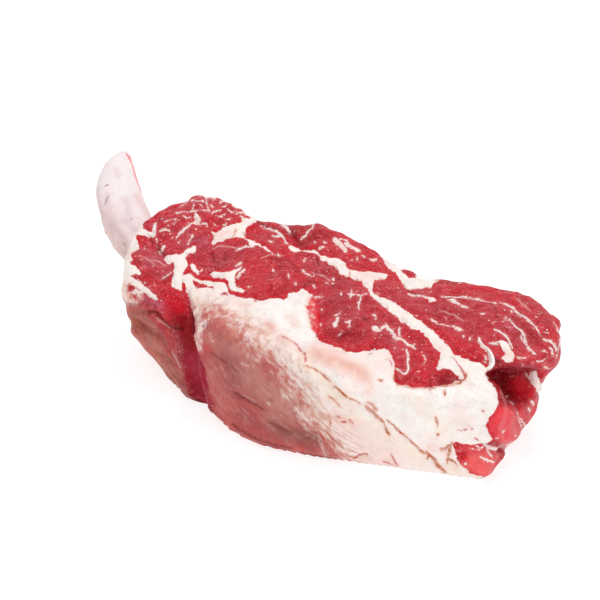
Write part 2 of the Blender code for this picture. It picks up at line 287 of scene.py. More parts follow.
# thin fat: width, then the points of each stroke
fatStrokes = {
    "hump": [
        (2.2, sharedPaths["hump thread"]), (3.0, [(192.5, 234.5), (191.5, 236.5)]),
        (1.1, [(191, 238), (189, 241), (188, 244)]),
        (1.7, [(160, 231), (163, 229.6), (166, 229.4), (170, 230.4)]),
        (1.0, [(165, 222), (171, 220.6), (177, 220)]), (1.1, [(176, 213), (182, 211.6), (188, 211.6)]),
        (0.9, [(190, 212), (197, 211.5), (205, 211), (210, 210)]),
        (1.5, [(192, 201), (198, 202), (205, 202.5)]), (0.8, [(195, 203), (193.5, 207), (193, 211)]),
        (0.9, [(205, 199), (211, 199), (215, 200)]), (4.4, [(195.5, 213.5), (197, 217), (200, 220)]),
        (4.0, [(199, 221), (196, 222), (193, 222)]), (1.3, [(200, 223.4), (205, 223), (207.5, 226)]),
        (0.9, [(207, 197), (206.4, 201), (207, 206), (209.5, 212)]), (1.8, [(211, 206), (212.5, 207.5)]),
        (1.7, [(211.5, 214), (215, 212.4), (221, 210.4)]), (1.6, [(219, 205), (222, 202.5), (229, 202)]),
        (1.0, [(222, 207.5), (226, 206.4)]), (1.1, [(226, 202), (231, 203), (236, 204.4)]),
        (1.9, [(232, 206), (237, 207.6), (241, 208)]),
        (1.8, [(236, 214), (241, 213.6), (246, 215), (250, 217)]), (1.5, [(226, 219.4), (230.5, 218.6)]),
        (1.6, [(240, 217.5), (244, 220)]), (1.3, [(222, 226.4), (227, 223.6)]),
        (1.0, [(236, 203.6), (243, 207), (249, 211)]), (1.2, [(251, 212.6), (256, 216), (261, 220.6)]),
        (0.8, [(228, 209), (232, 211.6), (236, 211)]), (0.8, [(216, 216), (221, 217), (225, 214.6)]),
        (0.9, [(200, 206.4), (203, 208.6), (203, 212)]), (0.9, [(183, 216), (187, 218), (190, 216.6)]),
        (1.0, [(214, 224), (218, 225.2)]), (3.6, [(155, 221), (154.5, 228), (154, 236)]),
        (1.1, [(156, 237), (157, 241)]), (3.4, [(164.4, 245), (163, 248), (161, 250)]),
        (1.2, [(203, 269), (200, 271.5)]), (1.0, [(180, 241), (178, 243.4)]),
        (0.9, [(173, 224), (176, 223), (179, 220.6)]), (0.9, [(179, 204.5), (184, 203), (189, 200)]),
        (1.4, [(168, 225.6), (169.4, 226.2)]), (1.3, [(195, 228), (196.2, 228.6)]),
    ],
    "front": [
        (2.5, [(236, 267), (239, 265.5), (242.5, 264)]),
        (2.6, [(237.5, 278.5), (241, 275), (245, 272.8)]), (2.2, [(243, 300), (242, 296.5)]),
        (2.0, [(279, 258), (278, 256)]), (2.2, [(273, 272), (274, 272.6)]),
        (2.0, [(295, 282), (296, 283.5)]), (1.6, [(248, 286), (249, 286.8)]),
        (2.2, [(269, 241), (273, 242)]), (1.2, [(236, 251), (245, 248), (254, 247)]),
    ],
    "middle": [
        (1.7, [(306, 256.5), (304, 260), (304, 262)]), (2.2, [(302, 268), (303.5, 270.5), (305, 273)]),
        (1.4, [(305, 273), (308, 275), (312, 277)]), (1.0, [(288, 274), (289, 278)]),
        (2.0, [(313, 285), (315, 287)]), (1.8, [(315, 297), (319, 296), (323, 296.5)]),
        (1.6, [(322, 309), (322, 311)]), (2.4, [(333, 277.5), (333.5, 279)]),
        (2.4, [(332.6, 282), (333.4, 283)]), (1.4, [(326, 282), (328, 282)]),
        (1.7, [(341, 293), (341, 295)]), (2.2, [(320, 323.5), (320.5, 325)]),
        (1.2, [(311, 303), (314, 304.4)]), (1.0, [(310.4, 309), (313, 310.6)]),
        (1.1, [(311.6, 316), (314, 318)]), (0.9, [(313.4, 324), (315.6, 325)]),
        (5.6, [(334, 325.5), (336, 322)]), (3.0, [(337, 322), (338, 318)]),
        (2.0, [(346, 323.5), (349, 323), (349.5, 327.5)]), (1.4, [(349, 323.5), (351.5, 320)]),
        (0.9, [(334, 316), (338, 315.5), (342, 313.5)]), (1.2, [(338, 334), (341, 332)]),
        (1.6, [(351.5, 289), (351.5, 294), (350, 297)]),
        (1.8, [(348, 294), (355.5, 294), (361, 296), (367, 293.5)]), (1.7, sharedPaths["middle thread"]),
        (2.0, [(358.6, 302), (358.4, 306)]), (1.0, [(372.5, 315), (375, 316), (376, 319)]),
        (1.7, [(272, 235), (277, 237), (283, 236)]),
    ],
    "back bumps": [
        (2.0, [(261, 225), (270.5, 229), (279, 234), (283, 237), (285, 241), (288, 243.5)]),
        (3.4, [(280, 223.5), (284, 226), (290, 230.5)]),
        (1.8, [(301, 238), (307, 234), (312, 229), (315, 224)]), (1.2, [(323, 242), (327, 242)]),
        (1.2, [(314, 241), (315, 243)]), (1.8, [(319, 249), (322, 247), (325, 247.6)]),
        (5.2, [(334, 238.5), (338, 242), (342, 246), (346, 251)]),
        (4.2, [(345, 243), (351, 246.5), (356, 249), (360, 250)]),
        (1.2, [(339, 239), (345, 240), (349, 243)]), (1.2, [(362, 255), (366, 257)]),
        (1.2, [(369, 258), (373, 260), (377, 259)]), (1.0, [(358, 256), (357, 260)]),
        (2.4, [(383, 258), (387, 262), (392, 266)]),
    ],
    "front right": [
        (6.0, [(373, 327.5), (379, 329.5)]), (3.4, [(379, 330), (385, 326), (390, 330), (393, 332)]),
        (2.0, [(400, 329), (399, 332), (400, 336)]), (3.6, [(392, 332), (396, 337), (401, 339)]),
        (2.2, [(395, 341), (397, 339)]), (2.6, [(400, 337), (405, 341), (411, 345), (416, 349)]),
        (1.2, [(411, 345), (415, 343)]),
        (2.3, [(406, 349), (408, 355), (407.5, 362), (408.5, 370), (404, 374), (397, 369)]),
        (1.0, [(394, 367), (398, 371), (403, 374)]), (1.0, [(423, 357), (426, 361), (424, 366)]),
    ],
    "flap": [
        (2.0, [(408, 293), (415, 294.5), (422, 297), (429, 299)]),
        (0.9, [(441, 296.5), (451, 297), (466, 298.5), (481, 301), (490, 302)]),
        (3.0, [(493, 303), (496, 304)]),
        (1.5, [
            (500, 303), (510, 307.5), (519, 313.5), (526, 317.5), (532, 322.5), (537, 329), (541, 335),
        ]),
        (1.5, [(543, 338), (548, 340), (553, 342)]),
        (1.5, [(504, 320), (510, 321), (516, 327.5), (521, 331.5), (525, 338), (527, 344.5), (529, 349)]),
        (1.8, [(527, 346), (530, 351), (534, 354)]),
        (1.2, [(553, 321), (558, 329), (559.8, 338), (558.4, 348), (555.4, 358)]),
        (1.6, sharedPaths["lip thread"]), (3.2, [(448, 299), (452, 300.5), (457, 303)]),
        (2.2, [(456, 302), (461, 306), (468, 309.5)]), (3.0, [(453.5, 327), (458, 329), (463, 331.5)]),
        (2.4, [(463, 336), (464, 336.6)]), (2.4, [(469.5, 338.6), (471, 339.2)]),
        (2.0, [(511, 311), (512.5, 312.4)]), (1.4, [(480, 316), (486, 315.5)]),
        (1.6, [(429, 318), (434, 320), (438, 323.5)]), (0.8, [(438, 323.5), (446, 325), (454, 327.5)]),
        (3.2, [(479, 338), (480, 342), (484, 346), (489, 350.5)]),
        (5.0, [(486, 348), (490, 354), (491.6, 359), (491.6, 364), (489, 368), (485, 370)]),
        (1.8, [(489, 342), (494, 343), (498, 346)]), (1.2, [(484, 354), (486, 359), (485, 363)]),
        (1.4, [(525.5, 373), (528, 377), (531, 380)]),
        (1.5, [(547, 340), (552, 343), (555.5, 347.5), (556, 352)]),
        (1.3, [(550, 346), (553, 350), (552.5, 356)]), (2.2, [(530, 349.4), (533.5, 353.5)]),
        (1.2, [(521, 337), (525, 343), (529, 349)]), (1.6, [(545, 367.6), (548.5, 368)]),
        (1.6, [(529, 351), (533, 352.6), (536, 356)]), (1.2, [(541, 352), (545, 349.4), (548, 352)]),
        (1.0, [(516, 356), (522, 358.6), (527, 357.6)]), (1.3, [(537, 361), (542, 361.6), (545, 359)]),
    ],
    "low right": [
        (2.8, [(482, 442), (487, 446.5), (494, 449), (501, 449.6), (507, 448.4)]),
        (0.9, [(506, 400.6), (511, 405), (515, 409), (518, 414)]),
        (0.9, [(515.6, 412), (520.6, 419), (525.6, 426)]), (0.8, [(517, 417), (520, 423), (522, 428)]),
        (2.6, [(531, 401), (533, 405)]), (1.8, [(528.6, 408), (530.4, 412)]),
        (1.7, [(503, 432.8), (505.4, 430)]), (1.7, [(494.6, 437.4), (495.8, 437)]),
        (1.7, [(515, 435.4), (516, 436.4)]), (1.2, [(506, 447), (509.6, 446), (511, 443.6)]),
        (2.6, sharedPaths["low thread"]), (1.6, [(486.6, 450), (489, 453), (491, 456.6)]),
        (1.4, [(470, 447.6), (474, 448.4), (479, 449)]), (2.0, [(464.6, 461.6), (466.6, 463)]),
        (1.3, [(474, 444), (479, 446.6), (484, 447)]), (2.0, [(506.2, 395.6), (507.4, 397)]),
        (1.6, [(511, 403), (514, 407)]), (3.4, [(451, 454), (454, 459)]),
    ],
    "left end": [
        (1.3, [(155, 243), (156.5, 244.5)]), (1.6, [(138, 280), (148, 290), (158, 298)]),
        (1.2, [(160, 279), (165, 276), (171, 273)]), (1.0, [(141, 269), (145, 268)]),
        (1.0, [(158, 249), (160, 253)]),
    ],
}

# drawn lines: stains on the fat, red edges, painted shade in folds and slits, and pale threads on muscle
# and membrane, some of them painted highlights along a slit
lineStrokes = {
    "stain": [
        (3.6, [(365, 406), (370, 411), (376, 417), (382, 424)]),
        (1.4, [(382, 424), (385, 430), (389, 436)]), (2.0, [(368, 402), (373, 406), (377, 411)]),
        (2.6, [(387, 421), (395, 427.5), (404, 436)]),
        (2.2, [(404, 436), (413, 443.5), (421, 451), (428, 456)]),
        (3.2, [(427, 455), (434, 461), (440, 467), (446, 473)]),
        (2.4, [(426, 452), (429, 456), (427, 460)]),
        (2.6, [(452, 442), (450, 449), (448.5, 456), (447, 463)]),
        (2.2, [(450, 461), (454, 463.6), (457, 466)]), (2.2, [(441, 450), (446, 448.6), (452, 443)]),
        (2.0, [(436, 415), (436.6, 420), (438, 425)]), (3.0, [(437, 433), (438.6, 435)]),
        (1.8, [(444.4, 390.5), (445, 397)]), (2.6, [(334, 386), (340, 390), (348, 397.5)]),
        (1.2, [(306, 366.5), (313, 368.6)]), (1.4, [(430, 381), (430, 392)]),
        (1.1, [(236.5, 229), (235, 234), (233.6, 239)]), (1.2, [(244, 231), (245, 236)]),
        (0.9, [(349, 272), (350, 277)]), (0.9, [(397, 385.4), (412, 388.6), (430, 388.2), (440, 387)]),
        (1.6, [(440, 387), (449, 385.4), (456, 382)]),
        (2.6, [(452, 383.6), (459, 380.6), (465, 377), (466, 373.4)]), (1.4, [(378, 381), (382, 381.4)]),
        (1.4, [(395, 374), (394, 381)]), (1.4, [(324, 431), (330, 436), (334, 443)]),
        (1.3, [(327, 414), (331, 420), (330, 426)]), (1.2, [(329, 396), (336, 400), (341, 406)]),
        (1.4, [(313, 368), (322, 374), (331, 382)]), (1.0, [(348, 397.5), (354, 400), (360, 404)]),
        (1.2, [(482, 410), (484, 412)]),
    ],
    "redLine": [
        (3.4, [(187.6, 271), (189, 274)]),
        (2.2, [(189, 274), (194, 276.6), (200, 278.6), (212, 279.8), (222, 281), (228, 284)]),
        (2.0, [(228, 284), (229, 289), (232, 291), (238, 293.4), (246, 294)]),
        (2.2, [(240, 293), (243, 299)]), (2.6, [(255, 297), (256, 303.6)]),
        (1.0, [(138, 257), (134, 262)]), (1.3, [(282, 338), (290, 340.5), (297, 345), (302, 352)]),
        (1.2, [(303, 352), (306, 358), (306, 363)]), (0.9, [(450.5, 356), (455, 361), (458, 366)]),
        (1.3, [(458, 366), (464, 372), (466, 376)]), (1.2, [(368, 354), (372, 354.6)]),
        (1.0, [(386, 361), (391, 364), (392, 369)]),
        (1.4, [(317.4, 304), (318.8, 314), (319, 326), (318.4, 336)]),
        (1.5, [(464, 428.6), (467.6, 428)]), (2.0, [(470.6, 428), (473, 427.6)]),
        (1.0, [(456, 429), (462, 430)]), (1.0, [(474, 436), (479, 439)]),
        (1.1, [(317, 430), (321, 437), (324, 446)]), (2.0, [(354, 458), (360, 455.4), (367, 454.6)]),
        (2.4, [(384, 460), (391, 462), (398, 466)]), (1.4, [(391, 452), (395, 458), (399, 463)]),
        (1.5, [(337, 415), (342, 418)]), (1.7, [(349, 420), (353, 424)]), (1.4, [(341, 421), (346, 422)]),
        (1.2, [(130, 286), (133, 284)]), (1.5, [(137, 288), (140, 290.5)]),
        (1.7, [(133, 294), (137, 297), (138, 301)]), (1.0, [(141, 294), (144, 298)]),
        (1.4, [(126, 283), (129, 281)]),
    ],
    # painted shade: every stroke here is a dark line where a fold or slit lies in shade
    "fold": [
        (3.4, [
            (138, 312.6), (146, 312), (153, 311.6), (158, 313.6), (160, 318), (165, 323.4), (172, 327.4),
            (181, 329),
        ]),
        (2.4, [(134, 318), (139, 321), (144, 327), (150, 333), (156, 336.6)]),
        (2.2, [(152, 329), (157, 334), (164, 341)]), (2.2, [(154, 352), (160, 356), (168, 359.6)]),
        (1.6, [(168, 361), (171, 364), (175, 366)]), (1.8, [(160, 366), (166, 373), (173, 379)]),
        (1.6, [(163, 317), (169, 321), (176, 324)]), (1.4, [(133, 324), (138, 329), (141, 335)]),
        (1.2, [(142, 318), (148, 320), (154, 325)]), (1.4, [(146, 338), (152, 343), (157, 350)]),
        (1.2, [(165, 345), (170, 352), (174, 357)]), (1.4, [(172, 373), (178, 380), (183, 386)]),
        (2.2, [(126, 299), (133, 303.4), (141, 304.4)]),
        (3.6, [(183, 391.6), (191, 396), (200, 402), (208, 407), (216, 414)]),
        (3.0, [(187, 302), (190, 318), (191, 330), (192.4, 344)]),
        (2.0, [(210, 352), (216, 356), (222, 361), (226, 363)]),
        (2.2, [(231, 365), (234, 369), (238, 372)]),
        (3.0, [(233, 394), (240, 398), (250, 403), (262, 411)]),
        (2.0, [(238, 404), (247, 410), (256, 416)]), (2.6, [(264, 420), (276, 427), (290, 433)]),
        (1.6, [(268, 398), (274, 402)]), (3.6, [(231, 424), (246, 434), (268, 444), (292, 449)]),
        (2.0, [(300, 452), (318, 456), (334, 457.4)]), (2.6, [(362, 318), (364, 320.6), (366, 323)]),
        (2.2, [(317, 256), (318, 261), (319, 266)]),
        (2.2, [(496, 372.6), (505, 374), (514, 373.6), (524, 372), (534, 371.4)]),
        (2.0, [(493, 357), (497, 361), (501, 363)]), (2.6, [(489, 443.4), (495, 444.6), (500, 446)]),
        (1.8, [(156, 243), (160, 250), (165, 254)]), (2.6, [(150, 238), (153, 243)]),
        (1.6, [(172, 279), (174, 275)]), (1.8, [(258, 222), (268, 227), (279, 231)]),
        (2.2, [(291, 229), (295, 236), (301, 243)]), (1.6, [(213, 252), (214, 260), (218, 266)]),
        (1.4, [(225, 252), (225, 262)]),
        (1.6, [(268, 262), (278, 262), (288, 262), (296, 267), (300, 272)]),
        (1.5, [(304, 287), (311, 282), (318, 284)]), (1.6, [(351, 332), (340, 336), (332, 338)]),
        (1.4, [(440, 383), (450, 380.4), (458, 377.4)]), (1.6, [(404, 284), (410, 291), (420, 295)]),
        (1.2, [(486, 303), (494, 310), (497, 320)]),
    ],
    "paleThreadAndHighlight": [
        # the second stroke on this line and the first on the next are painted highlights on the lit upper
        # edge of the wall slit; the others are pale threads
        (1.5, [(241, 363.4), (245, 365), (249, 365.8)]), (1.5, [(240, 395), (246, 399), (253, 404)]),
        (1.6, [(267, 402), (270, 405)]), (2.4, [(212.6, 341), (213.6, 341.4)]),
        (3.6, [(195, 333), (196, 338), (195, 342)]), (4.2, [(198, 344), (201, 347), (199, 351)]),
        (2.4, [(194, 308), (196, 314), (194, 318)]), (1.3, [(245, 330), (249, 338), (256, 344)]),
        (1.4, [(262, 352), (268, 360), (277, 368)]), (1.2, [(287, 386), (291, 393), (292, 401)]),
        (1.3, [(301, 409), (305, 417), (311, 424)]), (1.2, [(289, 374), (297, 380), (303, 389)]),
        (1.1, [(317, 441), (323, 450), (326, 458)]), (1.0, [(172, 352), (177, 361), (180, 368)]),
        (1.2, [(156, 318), (163, 324), (170, 328)]), (0.9, [(312, 274), (322, 276), (330, 280)]),
        (0.8, [(262, 262), (272, 258), (284, 257)]),
        (0.8, [(213, 250), (224, 247), (236, 249), (248, 247)]),
        (0.8, [(365, 287), (372, 292), (380, 294)]), (0.9, [(395, 317), (404, 322), (412, 330)]),
        (0.8, [(440, 312), (452, 316), (464, 323)]), (0.9, [(150, 262), (158, 262), (166, 266)]),
        (0.8, [(143, 258), (150, 262), (157, 268)]), (1.0, [(449, 446), (455, 449), (462, 450)]),
        (0.9, [(515, 300), (523, 306), (530, 312)]),
    ],
}

# folds and slits pressed into the surface: depth in mm, width in pixels, points
creases = {
    "left seam": (1.4, 3.5, sharedPaths["left seam"]),
    "groove": (1.6, 9, [(180, 302), (186, 330), (189, 352), (194, 372), (199, 390), (206, 404)]),
    "groove edge": (1.6, 3, [(186.5, 292), (190, 313), (192, 340), (195, 357), (201, 370), (206, 388)]),
    "wall slit": (1.5, 3.2, [(233, 394), (243, 399), (256, 406), (264, 413)]),
    "shadow dip": (1.0, 7, [(209.5, 353), (218, 358), (226, 363)]),
    "low hollow": (1.6, 9, [(236, 418), (259, 426), (284, 436), (316, 441)]),
    "left fold one": (1.7, 3.2, [(136, 312.6), (153, 312), (159, 316), (165, 323.4), (180, 329)]),
    "left fold two": (1.2, 3, [(134, 318), (144, 327), (156, 337)]),
    "left fold three": (0.9, 2.6, [(152, 329), (158, 335), (165, 342)]),
    "left fold four": (1.2, 3, [(152, 352), (160, 356), (170, 361)]),
    "dark slit one": (0.8, 1.8, [(362, 318), (364, 320), (366, 322)]),
    "dark slit two": (0.8, 1.8, [(317, 259), (318, 263), (319, 267)]),
    "front hollow": (0.7, 5, [(225, 258), (224, 264)]),
    "middle hollow": (0.9, 7, [(340, 337), (352, 337)]),
    "right hollow": (0.9, 6, [(386, 332), (391, 338)]),
    "left wave": (0.9, 4, [(275, 263), (287, 260.5), (295, 265), (302, 270)]),
    "bump valley": (1.4, 5, [(289, 231), (293, 238), (299, 243)]),
    "bump valley two": (1.2, 4, [(326, 226), (330, 236), (334, 246)]),
    "lower lip": (1.0, 3, [(440, 383), (452, 378), (462, 374)]),
    "wall fold": (1.0, 4, [(300, 352), (318, 372), (345, 396), (372, 415), (402, 436), (432, 460)]),
    "corner fold": (1.2, 3, [(449, 447), (451, 456), (455, 468)]),
    "chin fold": (1.2, 4, [(488, 444), (500, 448), (508, 449.6)]),
    "lip under flap": (0.8, 4, [(495, 371), (512, 374), (524, 371)]),
    "back shadow": (0.9, 4, [(245, 224), (254, 230), (262, 233)]),
}

# lumps that stand out: height in mm, radius in pixels, points
swells = {
    "hump crest": (1.2, 12, [(200, 198), (214, 196), (228, 201)]),
    "hump slope": (-1.8, 9, [(156, 213), (168, 206), (180, 201)]),
    "left brow": (2.1, 14, [(126, 262), (125, 280), (126, 300)]),
    "back bump one": (1.4, 8, [(270, 219), (280, 221)]),
    "back bump two": (2.0, 9, [(318, 222), (332, 222), (345, 228)]),
    "back knob": (1.0, 4, [(406, 269), (413, 273)]),
    "left knee": (1.5, 8, [(128, 315), (134, 328)]),
    "left lobe": (1.2, 7, [(138, 332), (148, 343)]),
    "left ledge": (0.9, 4, [(146, 306), (160, 309), (168, 317)]),
    "star pad": (0.5, 6, [(176, 262), (178, 280)]),
    "front muscle": (1.6, 15, [(250, 270), (275, 270)]),
    "middle muscle": (1.3, 15, [(335, 305), (350, 315)]),
    "corner muscle": (0.9, 9, [(420, 355), (424, 370)]),
    "wall ridge": (1.0, 5, [(196, 318), (199, 335), (204, 350), (211, 368)]),
    "upper knob": (0.9, 3, [(195, 312), (195.4, 314)]),
    "middle knob": (0.9, 3, [(196, 336), (196, 340)]),
    "lower knob": (1.0, 3.4, [(199, 345), (200, 349)]),
    "patch side": (-3.0, 8, [(507, 452), (505, 462), (499, 472)]),
    "flap crown": (0.8, 10, [(470, 305), (500, 315)]),
    "cleft curl": (0.9, 3, [(490, 353), (492.5, 360), (490, 368)]),
    "lobe curl": (0.9, 4, [(500, 344), (508, 348), (511, 357)]),
    "wall roll": (1.7, 9, [(318, 350), (335, 357), (352, 362), (374, 366)]),
    "wall roll low": (-0.9, 6, [(316, 362), (336, 372), (352, 378), (370, 382)]),
    "wall bulge": (1.0, 10, [(262, 312), (284, 310), (298, 306)]),
    "wall shoulder": (1.4, 12, [(440, 405), (470, 400)]),
}

# smooth membrane: how strongly it covers, radius in pixels, points
skinZones = {
    "front": (1.0, 26, [(222, 345), (240, 385), (270, 410), (300, 435)]),
    "front upper": (0.8, 16, [(215, 325), (225, 335)]),
    "front low": (1.0, 20, [(225, 405), (255, 430), (300, 445), (325, 452)]),
    "left": (1.0, 18, [(135, 325), (150, 340), (165, 365), (180, 388)]),
    "left low": (0.9, 14, [(130, 318), (140, 345)]),
}

# where fat fades into membrane
lacedZones = {
    "top": (0.6, 13, [(204, 312), (222, 316), (238, 330)]),
    "right": (0.8, 20, [
        (248, 340), (264, 358), (284, 378), (297, 398), (308, 418), (326, 440), (342, 457),
    ]),
    "ridge": (0.35, 5, [(195, 313), (199, 335), (203, 352)]),
    "left top": (0.3, 7, [(128, 300), (140, 302)]),
    "rim blend": (0.12, 5, [(311, 300), (311, 315), (315, 330)]),
}

# where the muscle is even in colour
calmZones = {
    "knob": (1.0, 11, [(500, 414), (503, 432), (512, 440)]),
    "patch": (1.0, 11, [(474, 458), (490, 466)]),
    "groove": (0.7, 8, [(176, 306), (186, 340), (196, 378), (204, 400)]),
    "cave": (0.8, 10, [(502, 380), (518, 390)]),
    "rim": (0.8, 5, [(312, 302), (314, 330)]),
}

# what colour the meat and the bone take
palette = {
    "crimson": (202, 40, 54),
    "rose": (204, 58, 70),
    "bright": (214, 26, 44),
    "deep": (150, 10, 24),
    "wine": (140, 10, 28),
    "petal": (216, 108, 112),
    "mauve": (192, 92, 108),
    "lilac": (182, 104, 126),
    "coral": (238, 66, 76),
    "salmon": (242, 100, 98),
    "dusty": (184, 62, 74),
    "scarlet": (206, 14, 34),
    # painted shade: this dark red and the one two lines down are painted where the cleft and the groove lie
    # in shadow
    "cave": (132, 2, 12),
    "berry": (162, 34, 60),
    "cleftShadow": (102, 0, 8),
    "liver": (156, 50, 66),
    "maroon": (92, 4, 12),
    "bark": (120, 50, 46),
    "brick": (198, 62, 70),
    "tan": (164, 84, 66),
    "ochre": (192, 96, 70),
    "dusk": (188, 98, 92),
    "veil": (196, 140, 130),
    "haze": (216, 176, 166),
    "fawn": (206, 152, 130),
    "umber": (142, 86, 78),
    "plum": (150, 78, 88),
    "cream": (248, 237, 231),
    "white": (252, 247, 244),
    "blush": (240, 192, 178),
    "apricot": (230, 156, 134),
    "pink": (245, 217, 211),
    "straw": (248, 228, 208),
    "rust": (184, 90, 26),
    # painted light and shade on the bone: the first colour below lightens its lit top as well as its
    # scrapes, the third darkens its shaded lower part, and the grey serves for pores and the shaded left
    # edge
    "boneLitAndScraped": (240, 230, 231),
    "boneMid": (234, 217, 217),
    "boneShade": (222, 192, 189),
    "boneMauve": (212, 182, 190),
    "boneGrey": (198, 174, 172),
}


def linear(name):
    value = np.array(palette[name]) / 255
    return np.where(value > 0.04045, ((value + 0.055) / 1.055) ** 2.4, value / 12.92)


# on the muscle, each over the ones before: colour, strength, radius in pixels, points
fleshBrushes = [
    ("dusty", 0.7, 20, [(158, 266), (163, 283)]), ("dusty", 0.6, 14, [(185, 240), (205, 235)]),
    ("dusty", 0.4, 12, [(178, 222), (205, 207), (230, 212)]),
    ("scarlet", 0.5, 5, [(160, 217), (172, 212)]), ("scarlet", 0.5, 6, [(200, 229), (216, 228)]),
    ("scarlet", 0.55, 5, [(214, 216), (234, 211), (248, 212)]),
    ("scarlet", 0.5, 4, [(180, 225), (188, 220)]),
    ("mauve", 0.6, 8, [(150, 262), (160, 258), (168, 268)]),
    ("scarlet", 0.5, 6, [(148, 276), (156, 286), (166, 290)]),
    ("bright", 0.9, 5, [(140, 240), (147, 240), (152, 243)]),
    ("wine", 0.8, 2.4, sharedPaths["left seam"]),
    ("bright", 0.7, 9, [(176, 292), (184, 300), (172, 288)]), ("mauve", 0.7, 8, [(190, 246), (203, 242)]),
    ("mauve", 0.55, 10, [(216, 262), (222, 254)]), ("dusty", 0.6, 12, [(228, 258), (244, 256)]),
    ("deep", 0.35, 6, [(224, 262), (236, 258)]), ("brick", 0.5, 15, [(258, 286), (282, 280)]),
    ("coral", 0.3, 13, [(250, 276), (264, 286), (284, 278)]), ("deep", 0.4, 13, [(440, 312), (478, 322)]),
    ("scarlet", 0.5, 7, [(244, 262), (262, 258), (282, 258)]),
    ("scarlet", 0.5, 6, [(245, 270), (250, 264)]), ("scarlet", 0.4, 6, [(250, 296), (270, 295)]),
    ("scarlet", 0.75, 10, [(254, 236), (272, 244), (284, 252)]),
    ("scarlet", 0.75, 9, [(255, 223), (285, 228), (310, 245), (340, 262), (375, 268)]),
    # painted shade: the deep strokes on this line and the next are shadow in the valleys between the back
    # bumps
    ("dusty", 0.5, 6, [(262, 239), (270, 240)]), ("deep", 0.8, 6, [(288, 228), (297, 236), (305, 243)]),
    ("deep", 0.7, 5, [(308, 237), (322, 238), (332, 235)]), ("deep", 0.6, 7, [(300, 228), (320, 225)]),
    ("scarlet", 0.7, 8, [(335, 228), (350, 238), (362, 252), (390, 262)]),
    ("dusty", 0.75, 14, [(316, 262), (330, 274), (345, 285)]),
    ("dusty", 0.8, 16, [(335, 300), (340, 312), (352, 318)]),
    ("scarlet", 0.5, 6, [(368, 300), (378, 310), (390, 318)]),
    ("dusty", 0.4, 10, [(375, 322), (390, 322)]), ("scarlet", 0.4, 5, [(308, 276), (318, 284)]),
    ("deep", 0.6, 7, [(330, 332), (352, 336), (366, 334)]), ("wine", 0.35, 5, [(340, 334), (352, 334)]),
    ("bright", 0.6, 4, [(321, 325), (321, 337), (330, 343)]),
    ("dusty", 0.5, 16, [(400, 296), (440, 312), (470, 324)]),
    ("brick", 0.5, 10, [(380, 292), (400, 300)]),
    ("scarlet", 0.5, 5, [(390, 275), (396, 281), (404, 288)]),
    ("scarlet", 0.6, 8, [(430, 330), (450, 340), (470, 350), (480, 358)]),
    ("dusty", 0.5, 8, [(490, 320), (500, 330)]), ("mauve", 0.55, 8, [(508, 325), (520, 338), (524, 350)]),
    ("wine", 0.4, 5, [(534, 338), (540, 342)]), ("deep", 0.5, 8, [(520, 325), (534, 340), (545, 345)]),
    ("scarlet", 0.6, 8, [(470, 291), (510, 297), (535, 310), (552, 328), (550, 350)]),
    ("deep", 0.45, 4, [(520, 300), (536, 311), (550, 325)]), ("coral", 0.4, 6, [(515, 352), (524, 357)]),
    ("scarlet", 0.6, 5, [(528, 357), (540, 360)]), ("rose", 0.35, 9, [(530, 355), (545, 352)]),
    ("mauve", 0.5, 7, [(386, 335), (395, 345)]), ("rose", 0.35, 7, [(397, 352), (400, 372)]),
    ("bright", 0.5, 10, [(420, 350), (428, 365), (420, 380)]),
    # painted shade in the narrow gap under the lip of muscle over the fat
    ("wine", 0.85, 5, [(440, 380), (452, 376), (461, 373)]),
    ("rose", 0.7, 5, [(515, 356), (528, 358), (535, 362)]), ("coral", 0.9, 9, [(503, 406), (508, 414)]),
    ("scarlet", 0.6, 5, [(534, 404), (534, 412)]), ("coral", 0.8, 5, [(543, 370), (545, 376)]),
    ("salmon", 1.0, 14, [(470, 460), (488, 462), (480, 472)]),
    ("bright", 0.95, 5, [(457, 449), (461, 452), (464, 457)]), ("tan", 0.6, 5, [(452, 446), (451, 458)]),
    ("tan", 1.0, 20, [(130, 318), (145, 340), (165, 370), (180, 390)]),
    ("ochre", 0.5, 7, [(134, 326), (142, 342), (152, 348)]), ("ochre", 0.4, 6, [(158, 362), (168, 378)]),
    ("plum", 0.4, 5, [(146, 320), (158, 330), (166, 344)]),
    ("ochre", 0.5, 7, [(136, 332), (146, 347), (162, 378)]), ("dusk", 0.6, 7, [(140, 334), (150, 344)]),
    ("plum", 0.6, 7, [(176, 332), (180, 345), (184, 360)]),
    ("plum", 0.3, 5, [(170, 364), (177, 374), (184, 386)]),
    ("dusk", 1.0, 28, [(222, 330), (240, 375), (280, 415), (310, 440)]),
    ("dusk", 1.0, 14, [(217, 402), (240, 430), (280, 447), (330, 457)]),
    ("umber", 0.35, 18, [(220, 365), (250, 390), (290, 410)]),
    ("veil", 0.6, 14, [(250, 362), (275, 385), (292, 405)]),
    ("veil", 0.35, 10, [(240, 372), (262, 388), (282, 408)]),
    # painted shade: the strokes on this line and the next two darken the hollows of the membrane
    ("plum", 0.5, 8, [(226, 352), (236, 372), (232, 392)]),
    ("plum", 0.5, 6, [(236, 414), (259, 424), (284, 434), (316, 441)]),
    ("umber", 0.8, 8, [(272, 424), (292, 434), (312, 438)]),
    ("brick", 0.45, 7, [(225, 425), (260, 444), (300, 452)]), ("veil", 0.3, 8, [(212, 362), (214, 385)]),
    ("apricot", 0.5, 6, [(226, 318), (233, 324), (234, 332)]),
    ("umber", 0.5, 5, [(192, 320), (200, 322), (204, 326)]),
    ("veil", 0.4, 8, [(208, 335), (222, 345), (236, 350)]),
]

